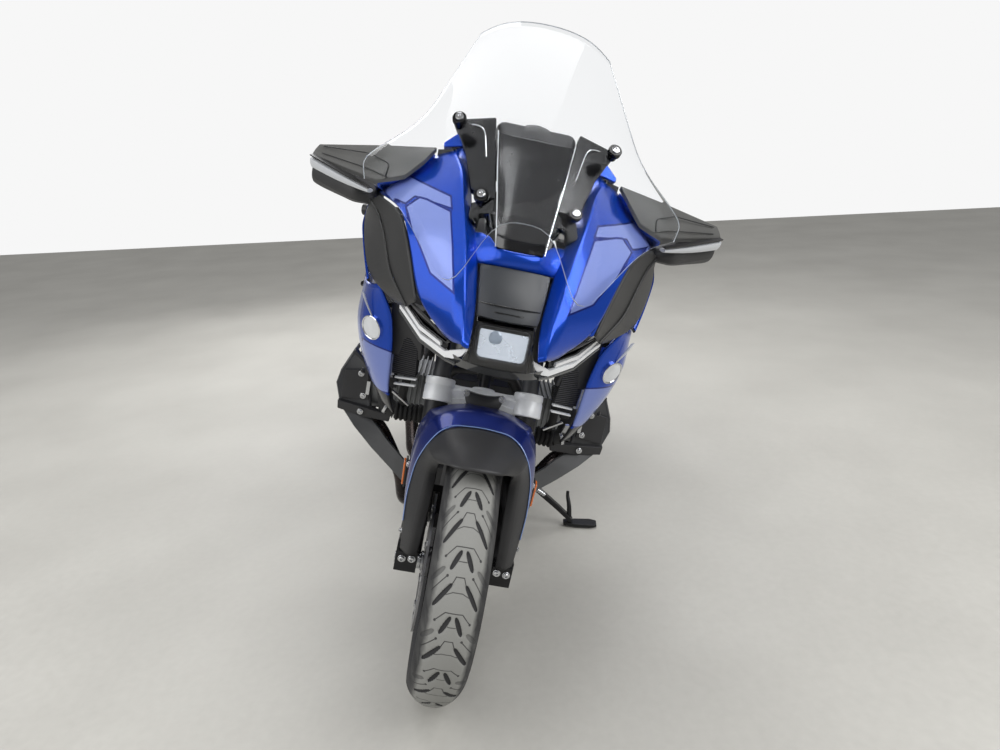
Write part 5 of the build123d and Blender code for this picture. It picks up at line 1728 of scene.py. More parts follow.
@dataclass
class Engine:
    """The head guards, radiators, intake boots, exhaust and their fastenings."""

    guard: tuple[Pair, ...] = ((345, 652), (376, 584), (384, 545), (366, 482), (276, 458), (300, 600))
    screws: int = 8

    def ring(self, x: float, inset: float) -> list[Point]:
        """Returns the guard's outline at x, drawn in by a share."""
        middle = (346, 550)
        return [(x, y + (middle[0] - y) * inset, z + (middle[1] - z) * inset) for y, z in self.guard]

    def guards(self) -> None:
        """Builds the moulded guard in front of each cylinder head."""
        cover = Workpiece()
        cover.hull(
            (self.ring(324, 0), self.ring(337, 0), self.ring(341, 0.08), self.ring(338.5, 0.16)), 0.2
        )
        side = (
            (356, 628), (376, 584), (384, 545), (366, 482), (358, 484), (375, 546), (368, 580), (350, 624)
        )
        cover.hull([[(x, y - drop, z) for y, z in side] for x, drop in ((190, 4), (210, 0), (324, 0))])
        cover.slab((220, 350, 494), (326, 366, 519))
        cover.hull(
            (
                ((340, 366, 484), (340, 276, 458), (328, 276, 458), (328, 366, 484)),
                ((360, 318, 436), (364, 246, 442), (352, 246, 442), (348, 318, 436)),
                ((380, 262, 392), (388, 222, 426), (376, 222, 426), (368, 262, 392)),
                ((420, 153, 320), (424, 157, 384), (412, 157, 384), (408, 153, 320)),
            ),
        )
        cover.done(
            "guard_shell", GUARD_GREY, "cylinder_guards", ["cylinder_guards"], Sides.BOTH, soften=3.0
        )
        ribs = Workpiece()
        ribs.plate(((341, 364, 586), (341, 302, 600), (341, 290, 512), (341, 366, 506)), (4, 0, 0))
        ribs.plate(((341, 352, 640), (341, 304, 606), (341, 302, 612), (341, 344, 648)), (6, 0, 0))
        ribs.hull(
            (
                ((350, 370, 476), (352, 372, 500), (332, 372, 502), (330, 370, 474)),
                ((352, 296, 464), (356, 294, 492), (334, 294, 494), (332, 296, 462)),
                ((360, 226, 466), (362, 224, 486), (344, 224, 488), (342, 226, 464)),
            ),
        )
        ribs.done("guard_ribs", GRAIN, "cylinder_guards", sides=Sides.BOTH, soften=2.0)
        screws = Workpiece()
        for y, z in ((320, 584), (307, 522)):
            screws.bolt((345, y, z), (1, 0, 0), 5.5, 8.5)
        screws.bolt((357, 307, 480), (1, 0, 0), 5.5, 8.5)
        screws.slab((342, 292, 528), (347, 301, 566))
        screws.done("guard_screws", BRIGHT, "cylinder_guards", sides=Sides.BOTH)

    def stays(self) -> None:
        """Builds the tubes that carry the nose, radiators and side panels."""
        piece = Workpiece()
        piece.pipe(((262, 118, 762), (420, 206, 850), (600, 204, 950), (700, 60, 985)), 10, 18, 40)
        piece.bar((262, 118, 744), (572, 196, 764), 18, 18)
        for ends in (
            ((262, 118, 752), (328, 326, 788)),
            ((262, 118, 762), (328, 326, 896)),
            ((600, 196, 948), (630, 268, 957)),
        ):
            piece.pipe(ends, 9, 14)
        piece.done("fairing_tubes", BLACK_CAST, "fairing_stays", ["fairing_stays"], Sides.BOTH, soften=1.5)

    def heads(self) -> None:
        """Builds the finned head and its cover behind each guard."""
        fins = Workpiece()
        fins.slab((150, 126, 468), (306, 264, 598))
        for k in range(9):
            y = 140.0 + 13.5 * k
            fins.slab((142, y, 460), (313, y + 4, 607))
        fins.done("cylinder_fins", ENGINE_CAST, "cylinders", ["cylinders"], Sides.BOTH, soften=1.2)
        head = Workpiece()
        loops = []
        for y, grow in ((258, 0), (320, 1), (338, 0), (350, -14)):
            outline = rounded((134.0 - grow, 478.0 - grow), (317.0 + grow, 610.0 + grow), 26, 3)
            loops.append([(x, y, z) for x, z in outline])
        head.hull(loops, 0)
        for x, z in ((150, 494), (302, 494), (150, 594), (302, 594)):
            head.bolt((x, 339, z), (0, 1, 0), 6, 9)
        head.done("head_covers", ENGINE_CAST, "cylinders", sides=Sides.BOTH, soften=2.0)

    def case(self) -> None:
        """Builds the crankcase with its covers, ribs and screws."""
        block = Workpiece()
        block.slab((-128, -126, 212), (320, 126, 558))
        block.slab((-258, -90, 252), (-126, 90, 418))
        block.slab((62, -122, 556), (328, 122, 614))
        block.lathe(((-2, 88), (5, 88), (8, 84), (8, 30), (5, 28), (5, 0)), (318, 0, 400), (1, 0, 0), 44)
        for side in (-1, 1):
            block.lathe(
                ((0, 92), (3, 92), (6, 88), (6, 20), (4, 18), (4, 0)), (-20, side * 123, 380), (0, side, 0),
                44,
            )
            for k in range(8):
                z = 240.0 + 20.0 * k
                block.slab((100, side * 126.0 - 2.5, z), (300, side * 126.0 + 2.5, z + 5))
        block.done("crankcase", DARK_CAST, "engine", ["engine"], soften=5.0)
        screws = Workpiece()
        front, flank = circle(self.screws, 78.0, 0.5), circle(self.screws, 82.0, 0.5)
        for (y, up), (along, rise) in zip(front, flank):
            screws.bolt((325.5, y, 400.0 + up), (1, 0, 0), 4.5, 7)
            for side in (-1, 1):
                screws.bolt((-20.0 + along, side * 128.5, 380.0 + rise), (0, side, 0), 4.5, 7)
        screws.done("crankcase_screws", BRIGHT, "engine")

    def radiators(self) -> None:
        """Builds the radiators with shrouds and bright edge strips."""
        core = Workpiece()
        core.hull(
            (
                ((604, 166, 684), (594, 222, 684), (608, 230, 846), (636, 174, 846)),
                ((568, 162, 684), (558, 218, 684), (572, 226, 846), (598, 170, 846)),
            ),
        )
        core.done("radiator_cores", CORE, "radiators", ["radiators"], Sides.BOTH, soften=1.0)
        shroud = Workpiece()
        shroud.hull(
            (
                ((612, 158, 730), (600, 236, 730), (560, 234, 730), (572, 156, 730)),
                ((640, 164, 812), (612, 242, 812), (566, 240, 812), (594, 160, 812)),
                ((650, 168, 856), (616, 244, 856), (566, 240, 856), (600, 164, 856)),
            ),
        )
        shroud.done("radiator_shrouds", GRAIN, "radiators", sides=Sides.BOTH, soften=4.0)
        strip = Workpiece()
        for z in (680, 664):
            strip.bar((596, 212, z - 3), (610, 162, z + 4), 10, 4.5)
        strip.bar((584, 222, 676), (586, 224, 732), 8, 8)
        strip.done("radiator_strips", SILVER, "radiators", sides=Sides.BOTH, soften=1.0)

    def intakes(self) -> None:
        """Builds the ribbed boots, their clamps, hoses and connectors."""
        boot = Workpiece()
        profile: list[Pair] = [(0, 20)]
        for k in range(6):
            along = 8.0 + 12.0 * k
            profile += [(along, 24.5), (along + 4, 24.5), (along + 6, 20.5), (along + 8, 20.5)]
        boot.lathe(profile, (446, 134, 540), (0, 1, -0.06), 26)
        boot.pipe(((446, 208, 536), (440, 236, 548), (400, 250, 590), (320, 252, 606)), 20, 18, 30)
        boot.pipe(((520, 176, 700), (500, 190, 640), (470, 196, 588), (446, 190, 560)), 11, 14, 30)
        boot.pipe(((470, 224, 700), (452, 224, 640), (448, 220, 612)), 6, 10, 20)
        boot.done("intake_boots", RUBBER, "cylinders", sides=Sides.BOTH)
        clamp = Workpiece()
        clamp.lathe(((0, 25.6), (8, 25.6), (8, 22), (0, 22)), (446, 128, 540), (0, 1, -0.06), 26)
        clamp.lathe(((0, 22), (8, 22), (8, 18), (0, 18)), (442, 226, 541), (-0.2, 0.9, 0.4), 26)
        clamp.bar((450, 232, 556), (470, 236, 590), 12, 7)
        clamp.bar((470, 176, 566), (474, 222, 598), 14, 5)
        clamp.done("intake_clamps", BRIGHT, "cylinders", sides=Sides.BOTH, soften=1.0)
        plug = Workpiece()
        plug.slab((430, 214, 600), (458, 238, 626))
        plug.slab((436, 206, 640), (462, 228, 656))
        plug.done("connectors", GRAIN, "fairing_stays", sides=Sides.BOTH, soften=2.0)

    def exhaust(self) -> None:
        """Builds the header pipes, the silencer with its cap, and the clamps."""
        header = Workpiece()
        header.pipe(
            (
                (250, 300, 496), (262, 290, 438), (330, 244, 430), (358, 206, 384), (366, 168, 322),
                (348, 152, 244), (240, 122, 176), (-60, 84, 170),
            ),
            19, 26, 26,
        )
        header.lathe(((0, 27), (6, 27), (8, 25), (8, 19)), (251, 299, 488), (0.2, -0.17, -0.96), 26)
        header.done("header_pipes", EXHAUST, "exhaust_headers", ["exhaust_headers"], Sides.BOTH)
        pipe = Workpiece()
        pipe.pipe(((-50, -60, 170), (-110, -156, 176), (-330, -198, 256), (-430, -204, 300)), 24, 28, 40)
        pipe.slab((-118, -82, 142), (-2, 82, 182))
        pipe.done("link_pipe", EXHAUST, "silencer", soften=4.0)
        can = Workpiece()
        start, ahead = (-400, -206, 296), (-460, -10, 80)
        end = Vector(ahead).length
        cone = ((0, 25), (6, 40), (26, 60), (40, 62))
        can.lathe(cone + ((end - 44, 62), (end - 42, 59.5), (end - 38, 59.5)), start, ahead, 48)
        can.done("silencer_can", MUFFLER, "silencer", ["silencer"])
        cap = Workpiece()
        dome = ((end - 40, 61), (end - 8, 60), (end, 52), (end + 4, 36))
        outlet = ((end + 40, 34), (end + 41, 31), (end + 40, 28), (end + 4, 27), (end + 4, 0))
        cap.lathe(dome + outlet, start, ahead, 48)
        cap.lathe(((120, 63.5), (138, 63.5), (138, 60), (120, 60)), start, ahead, 48)
        cap.slab((-540, -214, 374), (-516, -200, 420))
        cap.done("silencer_cap", BLACK_CAST, "silencer", soften=1.0)

    def build(self) -> None:
        """Builds the whole zone."""
        self.guards()
        self.stays()
        self.heads()
        self.case()
        self.radiators()
        self.intakes()
        self.exhaust()


def lofted(table: Sequence[Section], corner: float, sink: float = 0.0) -> list[list[Point]]:
    """Returns rounded cross-sections along x.

    Args:
        table: Place, middle height, width, height and top width of each.
        corner: The corners' radius.
        sink: How much smaller each is all round.

    Returns:
        The loops.
    """
    loops = []
    for x, z, wide, high, top in table:
        loop = []
        for y, up in rounded(
            (-wide / 2 + sink, -high / 2 + sink), (wide / 2 - sink, high / 2 - sink), corner, 3
        ):
            share = (up + high / 2) / high
            loop.append((x, y * (1.0 + (top / wide - 1) * share), z + up))
        loops.append(loop)
    return loops


# columns: place, middle height, width, height, top width
TANK: Sequence[Section] = (
    (298, 844, 200, 160, 150),
    (262, 846, 252, 196, 186),
    (200, 846, 296, 216, 212),
    (120, 842, 300, 212, 220),
    (50, 828, 262, 186, 196),
    (-18, 792, 188, 132, 150),
)
RIDER_SEAT: Sequence[Section] = (
    (-24, 800, 186, 88, 160),
    (-90, 788, 236, 80, 200),
    (-160, 778, 288, 78, 256),
    (-250, 780, 318, 82, 290),
    (-328, 788, 326, 88, 296),
)
PILLION_SEAT: Sequence[Section] = (
    (-333, 838, 306, 106, 270),
    (-420, 846, 316, 98, 286),
    (-520, 851, 316, 88, 286),
    (-620, 855, 292, 84, 258),
    (-698, 858, 256, 78, 214),
)
TAIL: Sequence[Section] = (
    (-62, 700, 268, 58, 250),
    (-200, 708, 300, 62, 290),
    (-330, 716, 328, 64, 316),
    (-520, 752, 322, 66, 306),
    (-700, 786, 300, 66, 276),
    (-850, 812, 262, 60, 236),
    (-958, 832, 230, 54, 206),
)


@dataclass
class Seat:
    """One cushion: swollen by cloth simulation, then seamed and piped."""

    name: str
    table: Sequence[Section]
    seams: tuple[float, ...]
    voxel: float = 6.0
    pressure: float = 4.0
    cap: float = 7.0
    above: float = 1100.0
    frames: int = 20
    stitches: int = 24
    span: float = 0.94
    lengthwise: Pair = (-0.3, 0.3)
    beyond: float = 30.0

    def swollen(self, made: bpy.types.Object) -> None:
        """Remeshes the form and lets it swell, each point held to the cap."""
        remesh = made.modifiers.new("even", "REMESH")
        remesh.mode = "VOXEL"
        remesh.voxel_size = self.voxel / PER_METRE
        self.keep(made)
        start = [vertex.co.copy() for vertex in made.data.vertices]
        cloth = made.modifiers.new("cloth", "CLOTH")
        cloth.settings.use_pressure = True
        cloth.settings.uniform_pressure_force = self.pressure
        cloth.settings.effector_weights.gravity = 0.0
        scene = bpy.context.scene
        for step in range(1, self.frames + 1):
            scene.frame_set(step)
        graph = bpy.context.evaluated_depsgraph_get()
        swollen = made.evaluated_get(graph).to_mesh()
        places = [vertex.co.copy() for vertex in swollen.vertices]
        made.evaluated_get(graph).to_mesh_clear()
        made.modifiers.remove(cloth)
        scene.frame_set(1)
        for vertex, before, after in zip(made.data.vertices, start, places):
            way = after - before
            if way.length > self.cap / PER_METRE:
                way = way.normalized() * self.cap / PER_METRE
            vertex.co = before + way
        rounding = made.modifiers.new("rounding", "SUBSURF")
        rounding.levels = rounding.render_levels = 1

    def keep(self, made: bpy.types.Object) -> None:
        """Turns the modifiers into the mesh itself."""
        graph = bpy.context.evaluated_depsgraph_get()
        data = bpy.data.meshes.new_from_object(made.evaluated_get(graph))
        made.modifiers.clear()
        made.data = data
        for polygon in data.polygons:
            polygon.use_smooth = True

    def build(self) -> None:
        """Builds the cushion and its seams."""
        form = Workpiece()
        form.hull(lofted(self.table, 26, 5), 0.4)
        made = form.done(self.name + "_pad", SEAT, self.name, [self.name], round_off=2)
        self.keep(made)
        self.swollen(made)
        skin = made.evaluated_get(bpy.context.evaluated_depsgraph_get())
        piping = Workpiece()
        for x in self.seams:
            half = self.nearest(x)[4] / 2 * self.span
            shares = [2 * k / self.stitches - 1 for k in range(self.stitches + 1)]
            self.sew(piping, skin, [(x, share * half) for share in shares], 2)
        first, last = self.table[0][0] - self.beyond, self.table[-1][0] + self.beyond
        places = [first + (last - first) * k / self.stitches for k in range(self.stitches + 1)]
        for share in self.lengthwise:
            self.sew(piping, skin, [(x, self.nearest(x)[4] * share) for x in places], 1.4)
        piping.done(self.name + "_piping", THREAD, self.name)

    def nearest(self, x: float) -> Section:
        """Returns the section that is nearest to x."""
        return min(self.table, key=lambda row: abs(row[0] - x))

    def sew(
        self,
        piping: Workpiece,
        skin: bpy.types.Object,
        spots: Sequence[Pair],
        radius: float,
    ) -> None:
        """Adds a seam over the cushion.

        Args:
            piping: The mesh that it is added to.
            skin: The finished cushion.
            spots: The x and y of its points, which are dropped from above.
            radius: The thread's radius.
        """
        line = []
        for x, y in spots:
            start = Vector((x, y, self.above)) / PER_METRE
            hit, spot, _, _ = skin.ray_cast(start, Vector((0, 0, -1)))
            if hit:
                line.append(tuple(spot * PER_METRE))
        if len(line) > 2:
            piping.pipe(line, radius, 8, 4)


@dataclass
class Rear:
    """The tank, tail, rack, lamps, plate holder and final drive."""

    drive_screws: int = 8
    drive_circle: float = 73.0

    def tank(self) -> None:
        """Builds the tank cover, its knee pads and fuel cap."""
        shell = Workpiece()
        shell.hull(lofted(TANK, 44), 0.5)
        shell.done("tank_shell", BLUE, "tank_cover", ["tank_cover"], round_off=2)
        cap = Workpiece()
        cap.lathe(((-8, 44), (3, 44), (6, 41), (6, 33), (4, 32), (4, 0)), (150, 0, 946), (-0.05, 0, 1), 44)
        cap.slab((120, -7, 948), (146, 7, 955))
        cap.done("fuel_cap", SATIN, "tank_cover", soften=1.0)
        pad = Workpiece()
        pad.tray(
            (
                ((230, 135, 852), (130, 140, 850), (30, 121, 826)),
                ((220, 150, 800), (120, 153, 796), (24, 131, 780)),
                ((190, 141, 766), (110, 144, 758), (20, 118, 752)),
            ),
            (0, -8, 0), 0.6,
        )
        pad.done("knee_pads", RUBBER, "tank_cover", sides=Sides.BOTH, round_off=2)

    def tail(self) -> None:
        """Builds the tail, its lamp, indicators and the blank plate."""
        shell = Workpiece()
        shell.hull(lofted(TAIL, 14), 0.8)
        shell.done("tail_shell", BLUE, "tail_fairing", ["tail_fairing"], round_off=2)
        lamp = Workpiece()
        edges = (
            ((-952, 108, 813), (-952, 102, 849)), ((-980, 101, 814), (-976, 95, 849)),
            ((-991, 92, 818), (-984, 86, 846)),
        )
        lamp.hull([[(x, -y, z), (x, y, z), (u, v, w), (u, -v, w)] for (x, y, z), (u, v, w) in edges])
        for k in range(5):
            lamp.slab((-991, -84, 820.0 + 5.2 * k), (-984, 84, 822.0 + 5.2 * k))
        lamp.done("tail_lens", RED, "tail_light", ["tail_light"], soften=1.0)
        holder = Workpiece()
        holder.bar((-900, 0, 800), (-1118, 0, 651), 116, 15, 0.8)
        holder.bar((-1090, 0, 735), (-1156, 0, 564), 206, 6)
        for near, far in ((-58, -150), (58, 150)):
            holder.bar((-1040, near, 706), (-1040, far, 706), 16, 12)
        holder.done("plate_arm", GRAIN, "plate_holder", ["plate_holder"], soften=3.0)
        blinker = Workpiece()
        blinker.lathe(((0, 8), (6, 15), (30, 16), (42, 10), (46, 0)), (-1040, 138, 706), (0, 1, 0), 24)
        blinker.done("rear_blinkers", AMBER, "plate_holder", sides=Sides.BOTH)
        plate = Workpiece()
        plate.bar((-1096, 0, 735), (-1158, 0, 575), 180, 3)
        for y in (-70, 70):
            plate.bolt((-1127, y, 664), (-0.93, 0, 0.36), 4, 7)
        plate.done("blank_plate", BLANK, "plate_holder", soften=0.8)

    def rack(self) -> None:
        """Builds the rack's platform with slots, and its rails."""
        deck = Workpiece()
        for k in range(6):
            y = -124.0 + 43.0 * k
            deck.slab((-952, y, 876), (-710, y + 33, 887))
        for x in (-960, -728):
            deck.slab((x, -129, 873), (x + 24, 129, 882))
        for y in (-90, 90):
            for x in (-930, -770):
                deck.lathe(((0, 9), (2, 9), (3, 7.6), (3, 4.6), (-2, 4.5)), (x, y, 886), (0, 0, 1), 22)
        deck.done("rack_deck", GRAIN, "luggage_rack", ["luggage_rack"], soften=2.0)
        rails = Workpiece()
        rails.pipe(((-380, 176, 830), (-440, 196, 890), (-800, 180, 900), (-880, 120, 880)), 13, 20, 30)
        rails.bar((-360, 160, 800), (-384, 176, 836), 24, 30)
        rails.done("rack_rails", SATIN, "luggage_rack", sides=Sides.BOTH, soften=3.0)

    def drive(self) -> None:
        """Adds the final drive's cover and screws, and the footrests' pads."""
        x, _, z = REAR_HUB
        ribs = Workpiece()
        ribs.lathe(((0, 90), (5, 88), (7, 80), (7, 66), (3, 60), (3, 28)), (x, 175, z), (0, 1, 0), 48)
        for u, v in circle(self.drive_screws, self.drive_circle):
            ribs.bolt((x + u, 181.5, z + v), (0, 1, 0), 4.5, 7)
        ribs.done("drive_cover", DARK_CAST, "swingarm", soften=1.0)
        pads = Workpiece()
        for k in range(7):
            y = 176.0 + 17.0 * k
            pads.slab((-124, y, 339.0 + 0.043 * (y - 116)), (-96, y + 11, 352.0 + 0.043 * (y - 116)))
        pads.slab((-124, 172, 336), (-96, 298, 342))
        pads.done("footrest_pads", RUBBER, "footrests", sides=Sides.BOTH, soften=1.5)

    def build(self) -> None:
        """Builds everything behind the steering head."""
        self.tank()
        self.tail()
        self.rack()
        self.drive()


@dataclass
class Panniers:
    """The panniers' dressed bodies and lids."""

    low: Point = (-960, 215, 468)
    high: Point = (-490, 462, 812)
    split: float = 396.0
    gap: float = 5.0
    wall: float = 7.0
    hinges: tuple[float, ...] = (-900, -550)

    def shell(self, near: float, far: float, closed: float, side: float) -> list[list[Point]]:
        """Returns a pannier half's loops, from its open edge round to its inside.

        Args:
            near: The y of the open edge.
            far: The y of the closed end.
            closed: How much narrower the closed end is.
            side: 1 for the left, -1 for the right.

        Returns:
            The loops.
        """
        way = 1.0 if far > near else -1.0
        loops = []
        for y, inset in (
            (near, self.wall + 1),
            (near, 0),
            (near + (far - near) * 0.5, closed * 0.2),
            (far - way * 16, closed * 0.6),
            (far - way * 4, closed + 3),
            (far, closed + 14),
        ):
            outline = rounded(
                (self.low[0] + inset, self.low[2] + inset), (self.high[0] - inset, self.high[2] - inset),
                46.0 - inset * 0.4, 4,
            )
            loops.append([(x, y * side, z) for x, z in outline])
        return loops

    def bodies(self) -> None:
        """Builds the inner halves with their arms and hinges."""
        body = Workpiece()
        body.hull(self.shell(self.split - 1, self.low[1] + 1, 6, 1), 0)
        body.bar((-620, 150, 790), (-620, 216, 790), 40, 20)
        body.bar((-860, 112, 800), (-860, 216, 790), 40, 20)
        for x in self.hinges:
            for near, far in ((-40, -14), (14, 40)):
                body.lathe(((0, 7), (26, 7)), (x + near, self.split + 2.5, 460), (1, 0, 0), 20)
                body.slab((x + near, self.split - 12, 456), (x + far, self.split + 2, 472))
            body.lathe(((0, 3), (28, 3)), (x - 14, self.split + 2.5, 460), (1, 0, 0), 14)
        body.done("case_bodies", GRAIN, "pannier_bodies", ["pannier_bodies"], Sides.BOTH, soften=1.2)

    def lid(self, side: float, ride: Body, word: str) -> None:
        """Builds one lid and its trims.

        Args:
            side: 1 for the left, -1 for the right.
            ride: The body that it rides on.
            word: The side in words, for names.
        """
        node = "pannier_lid_" + word
        lid = Workpiece()
        lid.hull(self.shell(self.split + self.gap + 0.3, self.high[1] - 0.5, 10, side), 0)
        lid.done("case_lid_" + word, BLUE, node, [node], soften=1.2, body=ride)
        trim = Workpiece()
        pin, root = side * (self.split + 2.5), side * (self.split + 9)
        for x in self.hinges:
            trim.lathe(((0, 7), (26, 7)), (x - 13, pin, 460), (1, 0, 0), 20)
            trim.slab((x - 13, root - 6, 456), (x + 13, root + 6, 472))
        face = side * self.high[1]
        trim.slab((-780, face - 4, 762), (-670, face + 4, 788))
        trim.slab((-930, face - 3, 560), (-520, face + 2.5, 572))
        lock = ((0, 12), (5, 12), (6, 10), (6, 2))
        trim.lathe(lock, (-700, face - side, 775), (0, side, 0), 24)
        trim.done("case_trim_" + word, SATIN, node, soften=1.5, body=ride)

    def build(self) -> None:
        """Builds both panniers."""
        self.bodies()
        self.lid(1, Body.LID_LEFT, "left")
        self.lid(-1, Body.LID_RIGHT, "right")


@dataclass
class Controls:
    """The grips' ribs, the bar ends and the side stand."""

    grip_in: Point = (150, 262, 1004)
    grip_out: Point = (104, 392, 990)
    pivot: Point = (36, 186, 246)

    def stand(self) -> None:
        """Builds the side stand as a tapered leg with a forked foot and tang."""
        leg = Workpiece()
        leg.lathe(
            ((-14, 9), (-14, 19), (-12, 20), (12, 20), (14, 19), (14, 9)), self.pivot, (0, 0.477, 0.879), 32
        )
        leg.rail(
            (self.pivot, (52, 270, 200), (66, 350, 154), (76, 402, 121)), (0, 0.48, 0.88), (1, -0.16, 0.1),
            ((20, 32), (17, 24), (16, 22), (13, 28)),
        )
        leg.rail(
            ((70, 378, 106), (76, 416, 113.5), (82, 462, 123.5), (86, 484, 128.5)), (0, -0.242, 0.97),
            (1, -0.1, 0), ((11, 26), (11, 42), (10, 48), (8, 34)),
        )
        leg.pipe(((76, 392, 132), (72, 384, 170), (56, 374, 196), (52, 372, 212)), 7, 14, 14, (8, 5))
        leg.done("stand_leg", BLACK_CAST, "side_stand", ["side_stand"], soften=3.0, body=Body.SIDE_STAND)

    def build(self) -> None:
        """Builds the small pieces on the handlebar and stands."""
        way = Vector(self.grip_out) - Vector(self.grip_in)
        grip = Workpiece()
        profile: list[Pair] = [(4, 17.5), (6, 20.5), (10, 20.5)]
        for k in range(14):
            profile += [
                (14.0 + 8.0 * k, 17.8), (18.0 + 8.0 * k, 17.8), (19.0 + 8.0 * k, 16.6),
                (21.0 + 8.0 * k, 16.6),
            ]
        grip.lathe(profile, self.grip_in, tuple(way), 28)
        grip.done("grip_ribs", RUBBER, "grips", sides=Sides.BOTH, body=Body.STEERING)
        ends = Workpiece()
        ends.lathe(((0, 15), (12, 17), (20, 16), (22, 12), (22, 0)), self.grip_out, tuple(way), 28)
        ends.done("bar_ends", SATIN, "handlebar", sides=Sides.BOTH, body=Body.STEERING)
        self.stand()
        spring = Workpiece()
        loops = []
        for k in range(8):
            loops += [(8.0 * k, 8), (8.0 * k + 4, 8), (8.0 * k + 5, 6.4), (8.0 * k + 7, 6.4)]
        spring.lathe(loops, (60, 240, 216), (0.12, 0.9, -0.4), 18)
        spring.done("stand_spring", BRIGHT, "side_stand", body=Body.SIDE_STAND)


# name, place and aim in metres in the frame, size in metres, power in watts
LAMPS: tuple[tuple[str, Point, Point, float, float], ...] = (
    ("key", (2.2, 2.4, 3.2), (0.2, 0.0, 0.7), 2.8, 92.0),
    ("fill", (2.2, -2.8, 2.6), (0.2, 0.0, 0.7), 3.2, 56.0),
    ("top", (-1.5, 0.2, 3.9), (0.2, 0.0, 0.5), 2.8, 76.0),
    ("rear", (-3.2, -1.4, 2.4), (-0.4, 0.0, 0.6), 2.0, 50.0),
)


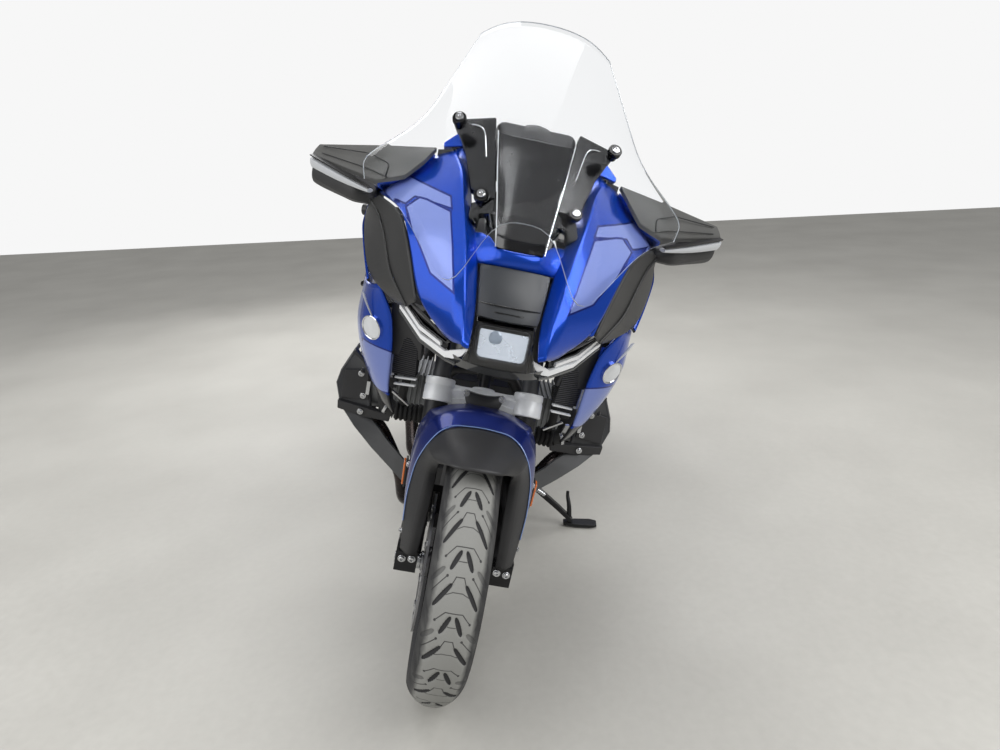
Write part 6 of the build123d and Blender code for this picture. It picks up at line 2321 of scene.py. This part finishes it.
@dataclass
class Studio:
    """Camera, lamps, world and floor."""

    spot: Point = (2200.1, 193.9, 1203.0)
    ahead: Point = (-0.95407, 0.00532, -0.29954)
    roll: float = math.radians(2.72)
    lens: float = 25.823
    white: float = 0.93
    even: float = 0.55
    mirrored: float = 0.24

    def camera(self) -> None:
        """Places the camera where the photograph was taken."""
        data = bpy.data.cameras.new("camera")
        data.lens = self.lens
        data.sensor_width = 36.0
        data.clip_end = 100.0
        view = Vector(self.ahead).normalized()
        right = view.cross(Vector((0.0, 0.0, 1.0))).normalized()
        up = right.cross(view)
        turned_right = right * math.cos(self.roll) - up * math.sin(self.roll)
        turned_up = right * math.sin(self.roll) + up * math.cos(self.roll)
        made = bpy.data.objects.new("camera", data)
        basis = Matrix((turned_right, turned_up, -view)).transposed().to_4x4()
        spot = (Vector(self.spot) + Vector(SHIFT)) / PER_METRE
        made.matrix_world = Matrix.Translation(spot) @ basis
        bpy.context.scene.collection.objects.link(made)
        bpy.context.scene.camera = made

    def lamp(self, name: str, spot: Point, aim: Point, size: float, power: float) -> None:
        """Adds a soft square lamp, in metres in the frame."""
        data = bpy.data.lights.new(name, "AREA")
        data.size = size
        data.energy = power
        made = bpy.data.objects.new(name, data)
        made.location = spot
        made.rotation_euler = (Vector(aim) - Vector(spot)).to_track_quat("-Z", "Y").to_euler()
        bpy.context.scene.collection.objects.link(made)

    def world(self) -> None:
        """Lights the object evenly and shows white behind it."""
        world = bpy.data.worlds.new("studio")
        bpy.context.scene.world = world
        graph = Graph(world, "Background")
        camera, through, glossy = (
            graph.node("ShaderNodeLightPath", {}, {}, f"Is {kind} Ray")
            for kind in ("Camera", "Transmission", "Glossy")
        )
        around = glossy.fit(0.0, 1.0, self.even, self.mirrored)
        graph.shade(Color=(1.0, 1.0, 1.0), Strength=camera.most(through).fit(0.0, 1.0, around, self.white))

    def floor(self) -> None:
        """Lays a pale concrete floor."""
        mesh = bmesh.new()
        bmesh.ops.create_grid(mesh, x_segments=1, y_segments=1, size=9.0)
        data = bpy.data.meshes.new("floor")
        mesh.to_mesh(data)
        mesh.free()
        graph = Graph.surface("floor_concrete")
        cloud = graph.noise(1.6, 6.0)
        fine = graph.noise(40.0, 5.0)
        tone = cloud * 0.7 + fine * 0.3
        concrete = graph.shade(
            Base_Color=graph.mix(tone.fit(0.3, 0.7), (0.43, 0.42, 0.39), (0.52, 0.51, 0.475)),
            Roughness=fine.fit(0.3, 0.7, 0.45, 0.6), Specular_IOR_Level=0.3,
        )
        data.materials.append(concrete)
        made = bpy.data.objects.new("floor", data)
        bpy.context.scene.collection.objects.link(made)

    def build(self) -> None:
        """Builds the whole studio."""
        self.camera()
        self.world()
        self.floor()
        for one in LAMPS:
            self.lamp(*one)


# finishes of the CAD nodes that stay in view
NODE_FINISH: tuple[tuple[Finish, tuple[str, ...]], ...] = (
    (BLACK_CAST, ("front_rim", "rear_rim", "fork_legs", "front_calipers", "handlebar", "frame")),
    (BLACK_CAST, ("rear_subframe", "suspension_arm", "stand_bracket", "centre_stand")),
    (DARK_CAST, ("fork_tubes", "swingarm")),
    (ENGINE_CAST, ("footrests",)),
    (STEEL, ("front_discs", "rear_disc")),
    (BRIGHT, ("front_axle",)),
    (RUBBER, ("grips",)),
    (GRAIN, ("belly_pan",)),
    (SATIN, ("nose_frame",)),
)


def dress_nodes() -> None:
    """Gives every CAD node that stays in view its finish."""
    for finish, names in NODE_FINISH:
        for name in names:
            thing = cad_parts[name]
            if not thing.data.materials:
                thing.data.materials.append(finish.material())
            for place in thing.material_slots:
                place.link = "OBJECT"
                place.material = finish.material()


def main() -> None:
    """Builds the machine's looks and its studio."""
    logging.basicConfig(level=logging.INFO, format="%(name)s %(message)s")
    scene = bpy.context.scene
    scene.view_settings.view_transform = "Standard"
    dress_nodes()
    front = TyreRubber("front_rubber", (0.03, 0.03, 0.032))
    rear = TyreRubber("rear_rubber", (0.03, 0.03, 0.032), repeats=16, start=0.3, reach=113.0)
    Wheel("front", Body.FRONT_WHEEL, FRONT_HUB, 300.0, 120.0, 89.0, front).build()
    Wheel("rear", Body.REAR_WHEEL, REAR_HUB, 320.0, 190.0, 152.0, rear).build()
    Fork().build()
    Bodywork().build()
    Lamps().build()
    Screen().build()
    Cockpit().build()
    Mirrors().build()
    Engine().build()
    Rear().build()
    Seat("rider_seat", RIDER_SEAT, (-90.0, -250.0)).build()
    Seat("pillion_seat", PILLION_SEAT, (-420.0, -560.0)).build()
    Panniers().build()
    Controls().build()
    Studio().build()


if __name__ == "__main__":
    main()
